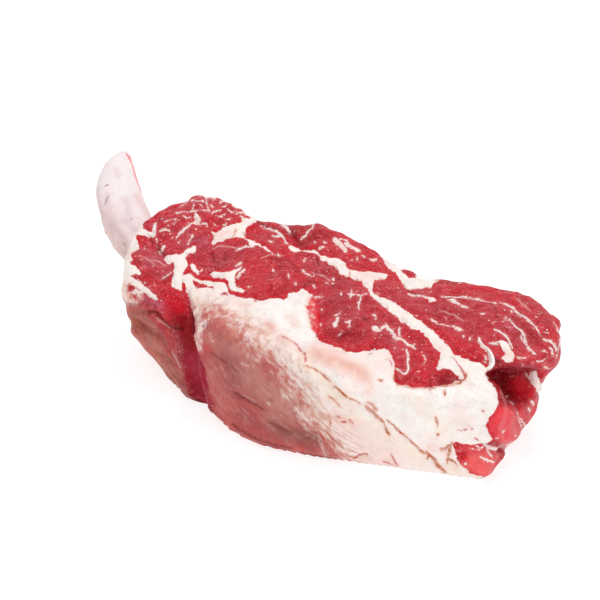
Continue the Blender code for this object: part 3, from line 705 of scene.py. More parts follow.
# areas of one colour with a clear edge: colour, strength, softness in pixels, outline
fleshPatches = [
    ("lilac", 0.8, 3, [(143, 295), (152, 297), (163, 301), (166, 308), (156, 308), (148, 305)]),
    ("wine", 0.92, 2, [
        (168, 302), (178, 296), (185, 289), (188, 304), (190, 314), (192, 328), (193.5, 345), (195, 355),
        (201, 369), (205, 379), (208, 390), (213, 409), (200, 405), (190, 396), (186, 385), (184, 372),
        (182, 358), (180, 342), (176, 330), (171, 316),
    ]),
    ("scarlet", 0.85, 4, [
        (160, 297), (172, 294), (184, 292), (188, 306), (186, 314), (176, 314), (167, 308),
    ]),
    ("plum", 0.5, 4, [(175, 332), (180, 338), (183, 356), (184, 368), (179, 362), (176, 346)]),
    # painted shade deep in the groove's crease
    ("cave", 0.8, 4, [(178, 316), (189, 314), (192, 330), (193, 348), (186, 348), (180, 334)]),
    ("berry", 0.85, 3, [
        (184, 354), (194, 354), (199, 366), (205, 380), (208, 391), (212, 407), (203, 403), (193, 395),
        (187, 385), (185, 370),
    ]),
    ("scarlet", 0.8, 1.5, [(139, 238), (146, 236), (154, 240), (156, 245), (150, 244), (143, 243)]),
    ("liver", 0.9, 1.5, [
        (492, 356), (500, 361), (515, 362), (528, 364), (542, 367), (536, 370), (524, 372), (509, 374),
        (497, 372), (489, 366),
    ]),
    ("wine", 0.8, 2, [(492, 358), (499, 361), (505, 364), (502, 371), (495, 371), (490, 368)]),
    # painted shade: this patch and the next two darken the cleft under the flap
    ("cave", 1.0, 2, [
        (486, 371), (492, 370), (500, 373), (510, 374), (518, 372), (525, 374), (531, 378), (532, 384),
        (536, 390), (535, 397), (530, 401), (522, 403), (515, 404), (508, 401), (503, 396), (499, 390),
        (495, 383),
    ]),
    ("cave", 0.9, 2, [
        (483, 371), (489, 371), (496, 381), (500, 389), (505, 398), (506, 406), (500, 406), (496, 394),
        (489, 382),
    ]),
    ("cleftShadow", 0.5, 4, [
        (486, 371), (497, 372), (506, 376), (507, 388), (508, 399), (503, 396), (495, 384),
    ]),
    ("bright", 0.9, 4, [(511, 380), (522, 375), (534, 387), (534, 398), (520, 402), (512, 394)]),
    # painted light: this muscle is crimson, painted brighter coral so that its right-facing side, left in
    # shade by the lamps, reads lit
    ("coral", 0.7, 3, [
        (509, 402), (520, 405), (533, 402), (537, 410), (529, 422), (523, 433), (517, 431), (513, 418),
    ]),
    # painted shade in the narrow gap under the lip of muscle over the fat
    ("wine", 0.9, 1.5, [(436, 384), (446, 378), (456, 375), (464, 376), (455, 381), (446, 385)]),
    ("coral", 1.0, 2, [
        (490, 419), (495, 413), (500, 409), (505, 407), (510, 411), (512, 418), (511, 428), (508, 440),
        (500, 445), (492, 441), (490, 432), (487, 427),
    ]),
    ("coral", 0.75, 2, [
        (511, 426), (519, 431), (519, 440), (514, 447), (506, 450), (500, 446), (508, 438),
    ]),
    ("wine", 0.7, 2, [(488, 443), (493, 438), (500, 441), (501, 446), (494, 446)]),
    ("coral", 0.85, 2, [
        (306, 298), (314, 299), (318.5, 308), (319.5, 330), (317, 338), (312, 332), (307, 315),
    ]),
]

groovePatches = fleshPatches[:4]  # where no membrane covers the groove

# on the fat, as on the muscle
tallowBrushes = [
    ("white", 0.8, 30, [(280, 320), (330, 370), (400, 400), (460, 410)]),
    ("blush", 0.6, 5, [(199, 302), (208, 312), (222, 312), (236, 315)]),
    ("blush", 0.4, 8, [(255, 340), (270, 332), (285, 345)]), ("blush", 0.6, 6, [(245, 318), (252, 330)]),
    ("blush", 0.5, 4, [(238, 303), (246, 306)]), ("blush", 0.5, 4, [(288, 318), (296, 326)]),
    ("apricot", 0.8, 3, [(267, 324), (272, 329)]), ("apricot", 0.8, 3, [(259, 347), (264, 351)]),
    ("blush", 0.5, 5, [(318, 344), (330, 350), (342, 354)]),
    ("apricot", 0.8, 3.6, [(314, 355), (322, 358), (331, 362)]),
    ("apricot", 0.8, 4.5, [(334, 362), (346, 367), (358, 371), (366, 378)]),
    ("blush", 0.7, 9, [(314, 356), (335, 364), (362, 376)]),
    ("blush", 0.6, 4, [(362, 378), (370, 386), (368, 392)]),
    ("blush", 0.5, 5, [(282, 340), (296, 347), (305, 358)]),
    ("apricot", 0.6, 3, [(311, 300), (312, 315), (315, 330)]),
    ("haze", 0.7, 6, [(192, 310), (197, 335), (202, 350)]),
    ("haze", 0.7, 13, [(250, 346), (272, 362), (290, 382), (302, 402), (316, 424), (332, 444)]),
    ("straw", 0.7, 6, [(300, 362), (330, 385), (352, 400)]),
    ("straw", 0.6, 7, [(330, 395), (365, 425), (420, 458)]),
    ("pink", 0.75, 12, [(345, 432), (370, 446), (392, 456)]), ("pink", 0.5, 10, [(322, 405), (338, 418)]),
    ("blush", 0.5, 6, [(337, 417), (354, 425)]), ("blush", 0.6, 4, [(361, 460), (385, 461), (399, 467)]),
    ("pink", 0.7, 5, [(431, 445), (445, 452)]), ("straw", 0.6, 5, [(446, 466), (458, 472), (474, 476)]),
    ("pink", 0.5, 8, [(455, 405), (462, 425)]), ("straw", 0.4, 8, [(410, 400), (430, 410), (444, 430)]),
    ("blush", 0.4, 5, [(390, 352), (396, 366), (396, 380)]),
    ("blush", 0.5, 4, [(212, 236), (222, 235), (230, 233)]), ("blush", 0.35, 4, [(366, 280), (376, 279)]),
    ("pink", 0.7, 5, [(360, 277), (380, 277)]), ("blush", 0.6, 4, [(500, 354), (510, 356)]),
    ("blush", 0.6, 6, [(126, 285), (134, 296), (142, 300)]), ("blush", 0.4, 3, [(128, 247), (131, 258)]),
    ("rust", 0.5, 2.5, [(437, 281), (447, 281)]), ("pink", 0.6, 8, [(405, 357), (380, 370)]),
]


def between(low, high, share):
    return low + (high - low) * share[:, None]


def paintOver(spots, base, brushes, patches=()):
    colour = np.tile(linear(base), (len(spots), 1))
    for name, strength, radius, points in brushes:
        colour = between(colour, linear(name), strength * brushWeight(spots, points, radius))
    for name, strength, soft, points in patches:
        weight = strength * (0.5 - 0.5 * np.tanh(outlineGap(spots, points) / soft))
        colour = between(colour, linear(name), weight)
    return colour


def joined(spots, groups):
    field = np.full(len(spots), 10.0)
    for strokes in groups:
        for width, points in strokes:
            field = np.minimum(field, strokeGap(spots, points, width))
    return field


def fatAt(spots):  # pixels to the nearest edge of the fat, and 1 where that is no thin stroke
    field = np.full(len(spots), 26.0)
    for points in fatOutlines.values():
        field = np.minimum(field, outlineGap(spots, points))
    for points in fatHoles.values():
        field = np.maximum(field, -outlineGap(spots, points))
    strokes = joined(spots, fatStrokes.values())
    broad = 1 / (1 + np.exp(np.clip(2 * (field - strokes), -20, 20)))
    return np.minimum(field, strokes), broad


def highest(spots, zones):
    share = np.zeros(len(spots))
    for strength, radius, path in zones.values():
        share = np.maximum(share, np.clip(1.6 * strength * brushWeight(spots, path, radius), 0, 1))
    return share


def cloudy(points, size, seed, octaves=1):  # soft noise from -1 to 1 with lumps of a size in mm
    shift = Vector((seed * 17.3, seed * 5.1, seed * 9.7))
    total = np.zeros(len(points))
    gain = 1.0
    for octave in range(octaves):
        step = 2**octave / (size * mm)
        total += gain * np.array([noise.noise(Vector(p) * step + shift) for p in points])
        gain *= 0.5
    return total * 1.7


def readRows(items, key, width, kind=float):  # one property of every vertex or edge
    flat = np.empty(len(items) * width, kind)
    items.foreach_get(key, flat)
    return flat.reshape(-1, width)


def meshPoints(mesh):
    return readRows(mesh.vertices, "co", 3)


def meshNormals(mesh):
    return readRows(mesh.vertices, "normal", 3)


def meshEdges(mesh):
    return readRows(mesh.edges, "vertices", 2, int)


def setPoints(mesh, points):
    mesh.vertices.foreach_set("co", points.ravel())
    mesh.update()


def relaxed(values, edges, rounds, rate=0.5):  # each value drawn towards its neighbours' mean
    size = len(values)
    share = np.bincount(edges.ravel(), minlength=size).clip(1)
    table = values.reshape(size, -1).astype(float)
    for _ in range(rounds):
        for k in range(table.shape[1]):
            column = table[:, k]
            total = np.bincount(edges[:, 0], column[edges[:, 1]], size)
            total += np.bincount(edges[:, 1], column[edges[:, 0]], size)
            table[:, k] = column + rate * (total / share - column)
    return table.reshape(values.shape)


def addPiece(name, mesh):
    piece = bpy.data.objects.new(name, mesh)
    bpy.context.scene.collection.objects.link(piece)
    return piece


def plainMesh(draft, name):  # what a modifier makes of an object, which is then removed
    bpy.context.view_layer.update()
    graph = bpy.context.evaluated_depsgraph_get()
    mesh = bpy.data.meshes.new_from_object(draft.evaluated_get(graph))
    mesh.name = name
    draft.modifiers.clear()
    bpy.data.objects.remove(draft)
    return mesh


weldReach = 0.02 * mm


def remeshedCopy(node, name, voxel):  # a welded, evenly meshed copy of a CAD solid
    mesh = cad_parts[node].data.copy()
    shape = bmesh.new()
    shape.from_mesh(mesh)
    bmesh.ops.remove_doubles(shape, verts=shape.verts, dist=weldReach)
    shape.to_mesh(mesh)
    shape.free()
    mesh.materials.clear()
    draft = addPiece(name + "_draft", mesh)
    modifier = draft.modifiers.new("skin", "REMESH")
    modifier.mode = "VOXEL"
    modifier.voxel_size = voxel
    return plainMesh(draft, name)


def splitNear(mesh, field, reach):  # halves the edges near the lines of the drawing
    shape = bmesh.new()
    shape.from_mesh(mesh)
    shape.verts.ensure_lookup_table()
    close = field < reach
    edges = [e for e in shape.edges if close[e.verts[0].index] and close[e.verts[1].index]]
    bmesh.ops.subdivide_edges(shape, edges=edges, cuts=1, use_grid_fill=True)
    wide = [f for f in shape.faces if len(f.verts) > 4]
    bmesh.ops.triangulate(shape, faces=wide)
    shape.to_mesh(mesh)
    shape.free()


def giveNumbers(mesh, name, values):
    layer = mesh.attributes.new(name, "FLOAT", "POINT")
    layer.data.foreach_set("value", values.astype(np.float32))


def giveColours(mesh, name, colours):
    layer = mesh.attributes.new(name, "FLOAT_COLOR", "POINT")
    full = np.ones((len(colours), 4), np.float32)
    full[:, :3] = colours
    layer.data.foreach_set("color", full.ravel())


def surfaceTree(mesh):
    return BVHTree.FromPolygons([v.co for v in mesh.vertices], [f.vertices for f in mesh.polygons])


sight = {
    "grazing": 0.04,  # how squarely a surface must face the camera to be seen
    "clear": 0.6 * mm,  # that a line of sight starts off the surface
    # how the edge of what is seen is widened: rounds of smoothing, gain
    "lines": (1, 3.5),
    "meat": (10, 3.5),
    "meatWide": (40, 9),
    "bone": (4, 3.5),
    "boneWide": (14, 5),
}


class Surface:  # a mesh's vertices, and which of them the picture shows
    def __init__(self, mesh):
        self.points, self.normals, self.edges = meshPoints(mesh), meshNormals(mesh), meshEdges(mesh)
        self.tree = surfaceTree(mesh)
        self.spots = toPicture(self.points)
        self.seen = np.zeros(len(self.points))
        toEye = np.array(eye) - self.points
        toEye /= np.linalg.norm(toEye, axis=1)[:, None]
        facing = (toEye * self.normals).sum(1)
        for i in np.where(facing > sight["grazing"])[0]:
            start = Vector(self.points[i] + self.normals[i] * sight["clear"])
            if self.tree.ray_cast(start, Vector(toEye[i]))[0] is None:
                self.seen[i] = 1

    def shown(self, key):  # the seen part with its edge widened and softened
        rounds, gain = sight[key]
        return np.clip(relaxed(self.seen, self.edges, rounds) * gain, 0, 1)

    def zone(self, zones):
        return highest(self.spots, zones)

    def cloud(self, height, size, seed, octaves=1):
        return height * cloudy(self.points, size, seed, octaves)

    def share(self, level, *noise, top=1):  # the noise as a share from 0 to the top
        return np.clip(level + self.cloud(*noise), 0, top)


# the meat
meatSettings = {
    "voxel": 1.4 * mm,
    "smoothing": 12,
    "onTable": 0.4 * mm,  # height below which a point lies on the table
    "rimSmoothing": 30,
    "rimHeight": 3.0,  # mm above the table that are smoothed further
    "fineReaches": (2.4, 0.8),  # pixels about a line of the drawing that get finer faces, twice
    "hiddenLace": 0.35,  # how far fat fades into membrane on the far side
    "duskySkin": 0.6,  # how dark the membrane is there
}

reliefSettings = {
    "fatLift": 0.5,  # mm that fat stands proud of muscle
    "fatEdge": 1.6,  # pixels over which it rises
    "trench": 0.4,  # mm that the edge of the fat is sunk
    "trenchWidth": 1.8,
    "crown": 1.1,  # mm that a muscle bulges between its seams
    "crownReach": 9,
    "lumps": (0.8, 17, 11, 2),  # height and size in mm, seed, octaves
    "grain": (0.42, 6, 12, 2),
    "fineGrain": (0.2, 2.8, 13),
    "footReach": 5.0,  # mm above the table over which the relief fades out
}

# noise as a share from 0 to 1: level, gain, size in mm, seed, octaves
cloudShares = {
    "membrane": (0.15, 1.0, 34, 8, 3),
    "darkMuscle": (0.5, 0.6, 24, 21, 2),
    "pinkFat": (0.4, 0.7, 28, 22, 2),
    "flecks": (0.3, 1.2, 8, 41),
}

hiddenCap = {
    "broad": (1.0, 42, 5, 3),  # gaps in the cap: weight, size in mm, seed, octaves
    "small": (0.5, 14, 6, 2),
    "span": 9,  # pixels from the edge of a gap to its middle
    "level": 0.15,  # higher leaves less fat
    "thinning": 0.012,  # for each mm below the top of the walls
    "wallTop": 55,
    "overhead": 0.2,  # m above the table, from where the base finds the cut above it
    "usualTop": 0.06,
}


def hiddenFat(face):
    # a broken cap of fat round the walls, and on the base the seams of the cut above it
    lifted = face.points.copy()
    down = Vector((0, 0, -1))
    for i in np.where(face.normals[:, 2] < -0.3)[0]:
        x, y = face.points[i][:2]
        hit = face.tree.ray_cast(Vector((x, y, hiddenCap["overhead"])), down)[0]
        lifted[i, 2] = hit.z if hit else hiddenCap["usualTop"]
    base = fatAt(toPicture(lifted))[0]
    gaps = face.cloud(*hiddenCap["broad"]) + face.cloud(*hiddenCap["small"])
    thinner = hiddenCap["thinning"] * (hiddenCap["wallTop"] - face.points[:, 2] / mm)
    walls = hiddenCap["span"] * (gaps + hiddenCap["level"] - thinner)
    under = np.clip(-face.normals[:, 2] * 2.5 - 0.6, 0, 1)
    return walls + (base - walls) * under


# inside the cleft the meat is bare
hollow = {"middle": (0.113, 0.008, 0.034), "reach": 18 * mm, "bare": 20.0}

# how far each row of the picture is drawn sideways at the steak's ends and beside its groove, in pixels
endPulls = {
    "left": {
        "bound": [(122, 262), (121, 293), (127, 313), (132, 320), (133, 330), (140, 341), (150, 351),
                  (156, 360), (163, 373), (171, 383), (185, 393), (196, 403)],
        "pull": [(0, 244), (1.5, 258), (3.5, 270), (2.5, 280), (-2, 292), (-5.5, 304), (-5.5, 314),
                 (0, 326), (0.5, 338), (2.5, 350), (6, 358), (6, 368), (3, 377), (1, 389), (0, 400)],
        "reach": 26,
    },
    "corner": {
        "bound": [(201, 370), (202, 385), (203, 400), (208, 411), (216, 418), (228, 428)],
        "pull": [(0, 366), (3, 378), (5, 393), (7, 408), (6, 417), (0, 430)],
        "reach": 9,
    },
    "right": {
        "bound": [(560, 320), (564, 333), (562, 344), (559, 355), (555, 364), (546, 381), (538, 396),
                  (537, 413), (527, 423), (520, 434), (516, 446), (501, 453), (497, 467), (485, 477)],
        "pull": [(0, 326), (-3, 338), (-2, 352), (0, 372), (0, 400), (-1, 412), (-4, 428), (-3, 438),
                 (-7, 449), (-6, 458), (-4, 466), (0, 477)],
        "reach": 14,
    },
}


# the groove smoothed out, and its foot brought out level with the walls beside it
grooveFoot = {
    "levelling": 120,
    "levelReach": 13,
    "levelled": [(194, 300), (198, 330), (203, 360), (209, 385), (213, 404)],
    "forward": 4.2,  # mm
    "left": 0.9,
    "reach": 7,
    "height": 14.0,  # mm above the table over which it fades
    "path": [(190, 392), (198, 399), (205, 405)],
}


def pulledEnds(points):
    spots = toPicture(points)
    shift = np.zeros(len(points))
    for end in endPulls.values():
        bound, pull = smoothPath(end["bound"]), smoothPath(end["pull"])
        gap = spots[:, 0] - acrossAt(spots, bound)
        amount = acrossAt(spots, pull, 0, 0)
        shift += amount * np.exp(-((gap / end["reach"]) ** 2)) / pixelsPerMetre
    forward = np.array([backward.x, backward.y, 0]) * grooveFoot["forward"] * mm
    forward -= np.array(sideways) * grooveFoot["left"] * mm
    fill = brushWeight(spots, grooveFoot["path"], grooveFoot["reach"])
    fill *= np.clip(1.5 - points[:, 2] / (grooveFoot["height"] * mm), 0, 1)
    return points + shift[:, None] * np.array(sideways) + fill[:, None] * forward


# the meat drawn in round the bone where the picture doesn't show it, with a collar of fat
boneRim = {
    "near": 5.0 * mm,
    "fade": 6.0 * mm,
    "sink": 0.5 * mm,
    "collar": 2.2,  # mm that the collar stands up
    "foot": 3.0 * mm,  # from the bone over which it rises
    "reach": 7.0 * mm,
    "fatty": 7.0,
}


def closedRound(points, normals, bone):
    tree = surfaceTree(bone)
    away = np.clip(0.6 - 2.5 * (normals @ np.array(backward)), 0, 1)
    out = points.copy()
    for i in np.where(away > 0)[0]:
        spot, outward, _, gap = tree.find_nearest(Vector(points[i]), boneRim["near"] + boneRim["fade"])
        if spot is not None:
            share = away[i] * min(1, 1 - (gap - boneRim["near"]) / boneRim["fade"])
            out[i] += (np.array(spot - outward * boneRim["sink"]) - points[i]) * share
    return out


def collarShare(points, bone):  # how fatty the meat is round the bone, and how far its lip stands up
    tree = surfaceTree(bone)
    gaps = [tree.find_nearest(Vector(point), 3 * boneRim["reach"])[3] for point in points]
    gap = np.array([1.0 if far is None else far for far in gaps])
    share = np.exp(-((gap / boneRim["reach"]) ** 2))
    return share, share * np.clip(gap / boneRim["foot"] - 0.2, 0, 1)


def reliefAt(face, fat, shown, skin):  # how far the surface stands out, in mm
    relief = reliefSettings
    inFat = 0.5 - 0.5 * np.tanh(fat / relief["fatEdge"])
    lift = relief["fatLift"] * inFat
    lift -= relief["trench"] * np.exp(-((fat / relief["trenchWidth"]) ** 2)) * (1 - skin)
    lift += relief["crown"] * (1 - np.exp(-np.clip(fat, 0, 20) / relief["crownReach"])) * (1 - skin)
    lumps = face.cloud(*relief["lumps"]) * (0.6 + 0.4 * inFat)
    grain = face.cloud(*relief["grain"]) * (1 + 0.5 * inFat) + face.cloud(*relief["fineGrain"])
    lift += (lumps + grain) * (1 - 0.6 * skin)
    for depth, width, path in creases.values():
        lift -= depth * brushWeight(face.spots, path, width) * shown
    for height, width, path in swells.values():
        lift += height * brushWeight(face.spots, path, width)
    return lift


def strokeField(spots, shown, strokes):  # pixels to the nearest stroke, far off where hidden
    return np.minimum(joined(spots, [strokes]) + 12 * (1 - shown), 12)


def shapedMeat(bone):  # the CAD solid, smooth and even, fitted to the picture and round the bone
    mesh = remeshedCopy("meat", "steak_meat", meatSettings["voxel"])
    points, edges = meshPoints(mesh), meshEdges(mesh)
    onTable = points[:, 2] < meatSettings["onTable"]
    points = relaxed(points, edges, meatSettings["smoothing"])
    level = brushWeight(toPicture(points), grooveFoot["levelled"], grooveFoot["levelReach"])
    level *= np.clip((points[:, 2] / mm - 4) / 10, 0, 1)
    points += (relaxed(points, edges, grooveFoot["levelling"]) - points) * level[:, None]
    low = np.clip(1.5 - points[:, 2] / (meatSettings["rimHeight"] * mm), 0, 1)[:, None]
    points += (relaxed(points, edges, meatSettings["rimSmoothing"]) - points) * low
    points[onTable, 2] = 0
    setPoints(mesh, pulledEnds(points))
    setPoints(mesh, closedRound(meshPoints(mesh), meshNormals(mesh), bone))
    return mesh


def refine(mesh, reach):  # finer faces about the lines of the drawing
    face = Surface(mesh)
    lines = joined(face.spots, lineStrokes.values())
    lines = np.minimum(lines, np.abs(fatAt(face.spots)[0]))
    lines[face.shown("lines") < 0.5] = 99
    splitNear(mesh, lines, reach)
    print("meat faces", len(mesh.polygons))


def skinShare(face, drawn):  # how far smooth membrane covers the muscle
    skin = face.zone(skinZones) * drawn
    for _, _, _, outline in groovePatches:
        skin *= np.clip(0.5 + outlineGap(face.spots, outline) / 3, 0, 1)
    behind = face.share(*cloudShares["membrane"], top=0.8) * (face.normals[:, 2] > -0.4)
    return np.maximum(skin, (1 - drawn) * behind)


def meatColours(face, skin, hidden):
    flesh = paintOver(face.spots, "crimson", fleshBrushes, fleshPatches)
    tallow = paintOver(face.spots, "cream", tallowBrushes)
    plain = between(linear("crimson"), linear("dusty"), face.share(*cloudShares["darkMuscle"]))
    plain = between(plain, linear("dusk"), skin * meatSettings["duskySkin"])
    pale = between(linear("cream"), linear("pink"), face.share(*cloudShares["pinkFat"]))
    return between(flesh, plain, hidden), between(tallow, pale, hidden)


def fleckDensity(face, fat, skin, shown):
    thick = fleckSettings["elsewhere"] + face.zone(fleckZones) * shown
    density = np.clip((fat - 1.5) / 2, 0, 1) * (1 - skin) * thick
    onTop = face.normals[:, 2] > fleckSettings["upward"]
    return density * face.share(*cloudShares["flecks"]) * onTop


def buildMeat(bone):
    mesh = shapedMeat(bone)
    for reach in meatSettings["fineReaches"]:
        refine(mesh, reach)
    face = Surface(mesh)
    points, normals, calm = face.points, face.normals, face.zone(calmZones)
    shown, drawn = face.shown("meat"), face.shown("meatWide")
    shown = np.maximum(shown, drawn * calm)  # also down in the folds
    drawn = np.maximum(drawn, np.clip(drawn * 6, 0, 1) * calm)
    hidden = 1 - shown

    fat, broad = fatAt(face.spots)
    fat = fat * drawn + hiddenFat(face) * (1 - drawn)
    deepIn = np.linalg.norm(points - np.array(hollow["middle"]), axis=1) / hollow["reach"]
    fat += hollow["bare"] * np.exp(-(deepIn**2)) * hidden
    collar, lip = collarShare(points, bone)
    fat -= boneRim["fatty"] * collar * (1 - drawn)
    skin = skinShare(face, drawn)

    numbers = {
        "fat": fat,
        "skin": skin,
        "broad": broad * shown + hidden,
        "lace": face.zone(lacedZones) * shown + hidden * meatSettings["hiddenLace"],
        "gloss": face.zone(glossZones) * shown,
        "calm": calm * shown,
        "fleckDensity": fleckDensity(face, fat, skin, shown),
    }
    for name, strokes in lineStrokes.items():
        numbers[name] = strokeField(face.spots, shown, strokes)
    for name, values in numbers.items():
        giveNumbers(mesh, name, values)
    for name, colours in zip(("flesh", "tallow"), meatColours(face, skin, hidden)):
        giveColours(mesh, name, colours)

    lift = reliefAt(face, fat, shown, skin) + boneRim["collar"] * lip * (1 - drawn)
    lift *= 1 - np.clip(-normals[:, 2] * 3 - 1, 0, 1)
    foot = np.clip(points[:, 2] / (reliefSettings["footReach"] * mm), 0, 1)
    lift *= foot * foot * (3 - 2 * foot)
    points = points + normals * (lift * mm)[:, None]
    resting = (points[:, 2] < 0.6 * mm) & (normals[:, 2] < -0.7)
    points[:, 2] = np.where(resting, 0, points[:, 2].clip(0))
    setPoints(mesh, points)
    mesh.shade_smooth()
    return mesh


# the rib bone
boneSettings = {
    "voxel": 0.7 * mm,
    "smoothing": 10,
    "lastSmoothing": 3,
    "swell": 0.25,  # mm, closes the gap to the meat
    "scrape": (0.3, 13, 31, 2),  # height and size in mm, seed, octaves
    "fineScrape": (0.1, 3, 32, 1),
    "leftSwell": 1.3,
    "leftStretch": slice(2, 9),  # the points of its left edge beside which it swells
    "leftReach": 11,
    "trim": 0.85,  # share of what stands past its outline that is taken off
}

boneOutline = {
    "right": [
        (127.5, 150), (131, 162), (134, 173), (137, 182), (141, 191), (145, 199), (150, 207), (156, 215),
    ],
    "left": [
        (122, 150), (116, 155), (110, 160), (104, 169), (99, 178), (96.5, 187), (97, 196), (99, 205),
        (102, 215), (104.5, 231), (108, 237), (114, 249), (120, 259), (126, 268),
    ],
}


def trimmed(points):  # the blade's two long edges, brought to where the saw and the knife left them
    spots = toPicture(points)
    shift = np.zeros(len(points))
    for side, path in ((1, boneOutline["right"]), (-1, boneOutline["left"])):
        line = smoothPath(path)
        over = side * (spots[:, 0] - acrossAt(spots, line))
        shift -= side * np.clip(over, 0, None) * boneSettings["trim"] / pixelsPerMetre
    return points + shift[:, None] * np.array(sideways)


def buildBone():
    mesh = remeshedCopy("rib_bone", "steak_bone", boneSettings["voxel"])
    points, edges = meshPoints(mesh), meshEdges(mesh)
    points = relaxed(points, edges, boneSettings["smoothing"])
    setPoints(mesh, points)
    normals = meshNormals(mesh)
    swelling = boneOutline["left"][boneSettings["leftStretch"]]
    leftSide = brushWeight(toPicture(points), swelling, boneSettings["leftReach"])
    lift = boneSettings["leftSwell"] * leftSide * np.clip(1.4 - 3 * np.abs(normals[:, 2]), 0.2, 1)
    points = trimmed(points + normals * (lift * mm)[:, None])
    points = relaxed(points, edges, boneSettings["lastSmoothing"])
    setPoints(mesh, points)
    lift = np.full(len(points), boneSettings["swell"])
    for key in ("scrape", "fineScrape"):
        height, size, seed, octaves = boneSettings[key]
        lift += height * cloudy(points, size, seed, octaves)
    setPoints(mesh, points + meshNormals(mesh) * (lift * mm)[:, None])

    face = Surface(mesh)
    shown = face.shown("bone")
    tint = paintOver(face.spots, "boneMid", boneBrushes)
    giveColours(mesh, "tint", between(tint, linear("boneMid"), 1 - shown))
    giveNumbers(mesh, "mark", strokeField(face.spots, shown, boneMarks))
    giveNumbers(mesh, "redEdge", strokeField(face.spots, face.shown("boneWide"), boneReds))
    mesh.shade_smooth()
    return mesh


# on the bone: colour, strength, radius in pixels, points; painted light on the top, painted shade low down
# and along the left edge
boneBrushes = [
    ("boneLitAndScraped", 0.9, 16, [(122, 160), (118, 175), (122, 192)]),
    ("boneShade", 0.9, 9, [(106, 215), (116, 240), (124, 260)]),
    ("boneShade", 0.7, 4, [(136, 196), (145, 210), (151, 219)]),
    ("boneGrey", 0.45, 3, [(110, 226), (114, 234)]),
    ("boneGrey", 0.5, 3, [(118, 232), (126, 240), (131, 252)]),
    ("boneMauve", 0.5, 4, [(124, 220), (134, 230)]),
    ("boneGrey", 0.5, 5, [(112, 222), (123, 242), (125, 262)]),
    ("boneMauve", 0.5, 4, [(126, 200), (131, 219)]), ("boneMauve", 0.5, 3, [(116, 170), (118, 176)]),
    ("boneMauve", 0.5, 3, [(106, 196), (109, 205)]), ("boneLitAndScraped", 0.5, 5, [(136, 210), (142, 218)]),
    ("boneGrey", 0.4, 3, [(97, 190), (100, 205), (104, 222)]),
]
# dark nicks and red edges: width in pixels, points
boneMarks = [
    (1.4, [(105, 186), (108.5, 184.5)]), (1.4, [(109, 195), (106.5, 200), (105, 205)]),
    (1.2, [(131, 218.5), (132, 219.5)]), (1.4, [(105, 232), (106, 234)]), (1.2, [(123, 242), (126, 247)]),
]
boneReds = [
    (1.8, [(126, 153.5), (129, 157.5), (131.5, 163)]),
    (1.0, [(131.5, 163), (134.5, 173), (138, 183), (142, 192)]),
    (1.6, [(141, 191), (146, 200), (151, 207), (157, 215)]),
]


class Sock:  # a node's output that takes part in sums
    def __init__(self, writer, socket):
        self.writer, self.socket = writer, socket

    def sum(self, kind, other=0.0):
        return self.writer.put("ShaderNodeMath", {"operation": kind}, {0: self, 1: other})

    def __add__(self, other):
        return self.sum("ADD", other)

    def __sub__(self, other):
        return self.sum("SUBTRACT", other)

    def __mul__(self, other):
        return self.sum("MULTIPLY", other)

    def __truediv__(self, other):
        return self.sum("DIVIDE", other)

    def __rsub__(self, other):
        return self.writer.put("ShaderNodeMath", {"operation": "SUBTRACT"}, {0: other, 1: self})

    __radd__ = __add__
    __rmul__ = __mul__

    def size(self):
        return self.sum("ABSOLUTE")

    def within(self, low, high):  # eased from 0 at low to 1 at high
        sockets = {"Value": self, "From Min": low, "From Max": high}
        return self.writer.put("ShaderNodeMapRange", {"interpolation_type": "SMOOTHSTEP"}, sockets)

    def below(self, low, high):  # eased from 1 at low to 0 at high
        return 1 - self.within(low, high)


class Writer:  # puts nodes into a tree
    def __init__(self, tree):
        self.tree = tree

    def put(self, kind, settings=None, sockets=None, out=0):
        node = self.tree.nodes.new(kind)
        for key, value in (settings or {}).items():
            setattr(node, key, value)
        for key, value in (sockets or {}).items():
            if isinstance(value, Sock):
                self.tree.links.new(value.socket, node.inputs[key])
            else:
                node.inputs[key].default_value = value
        return Sock(self, node.outputs[out] if len(node.outputs) else None)


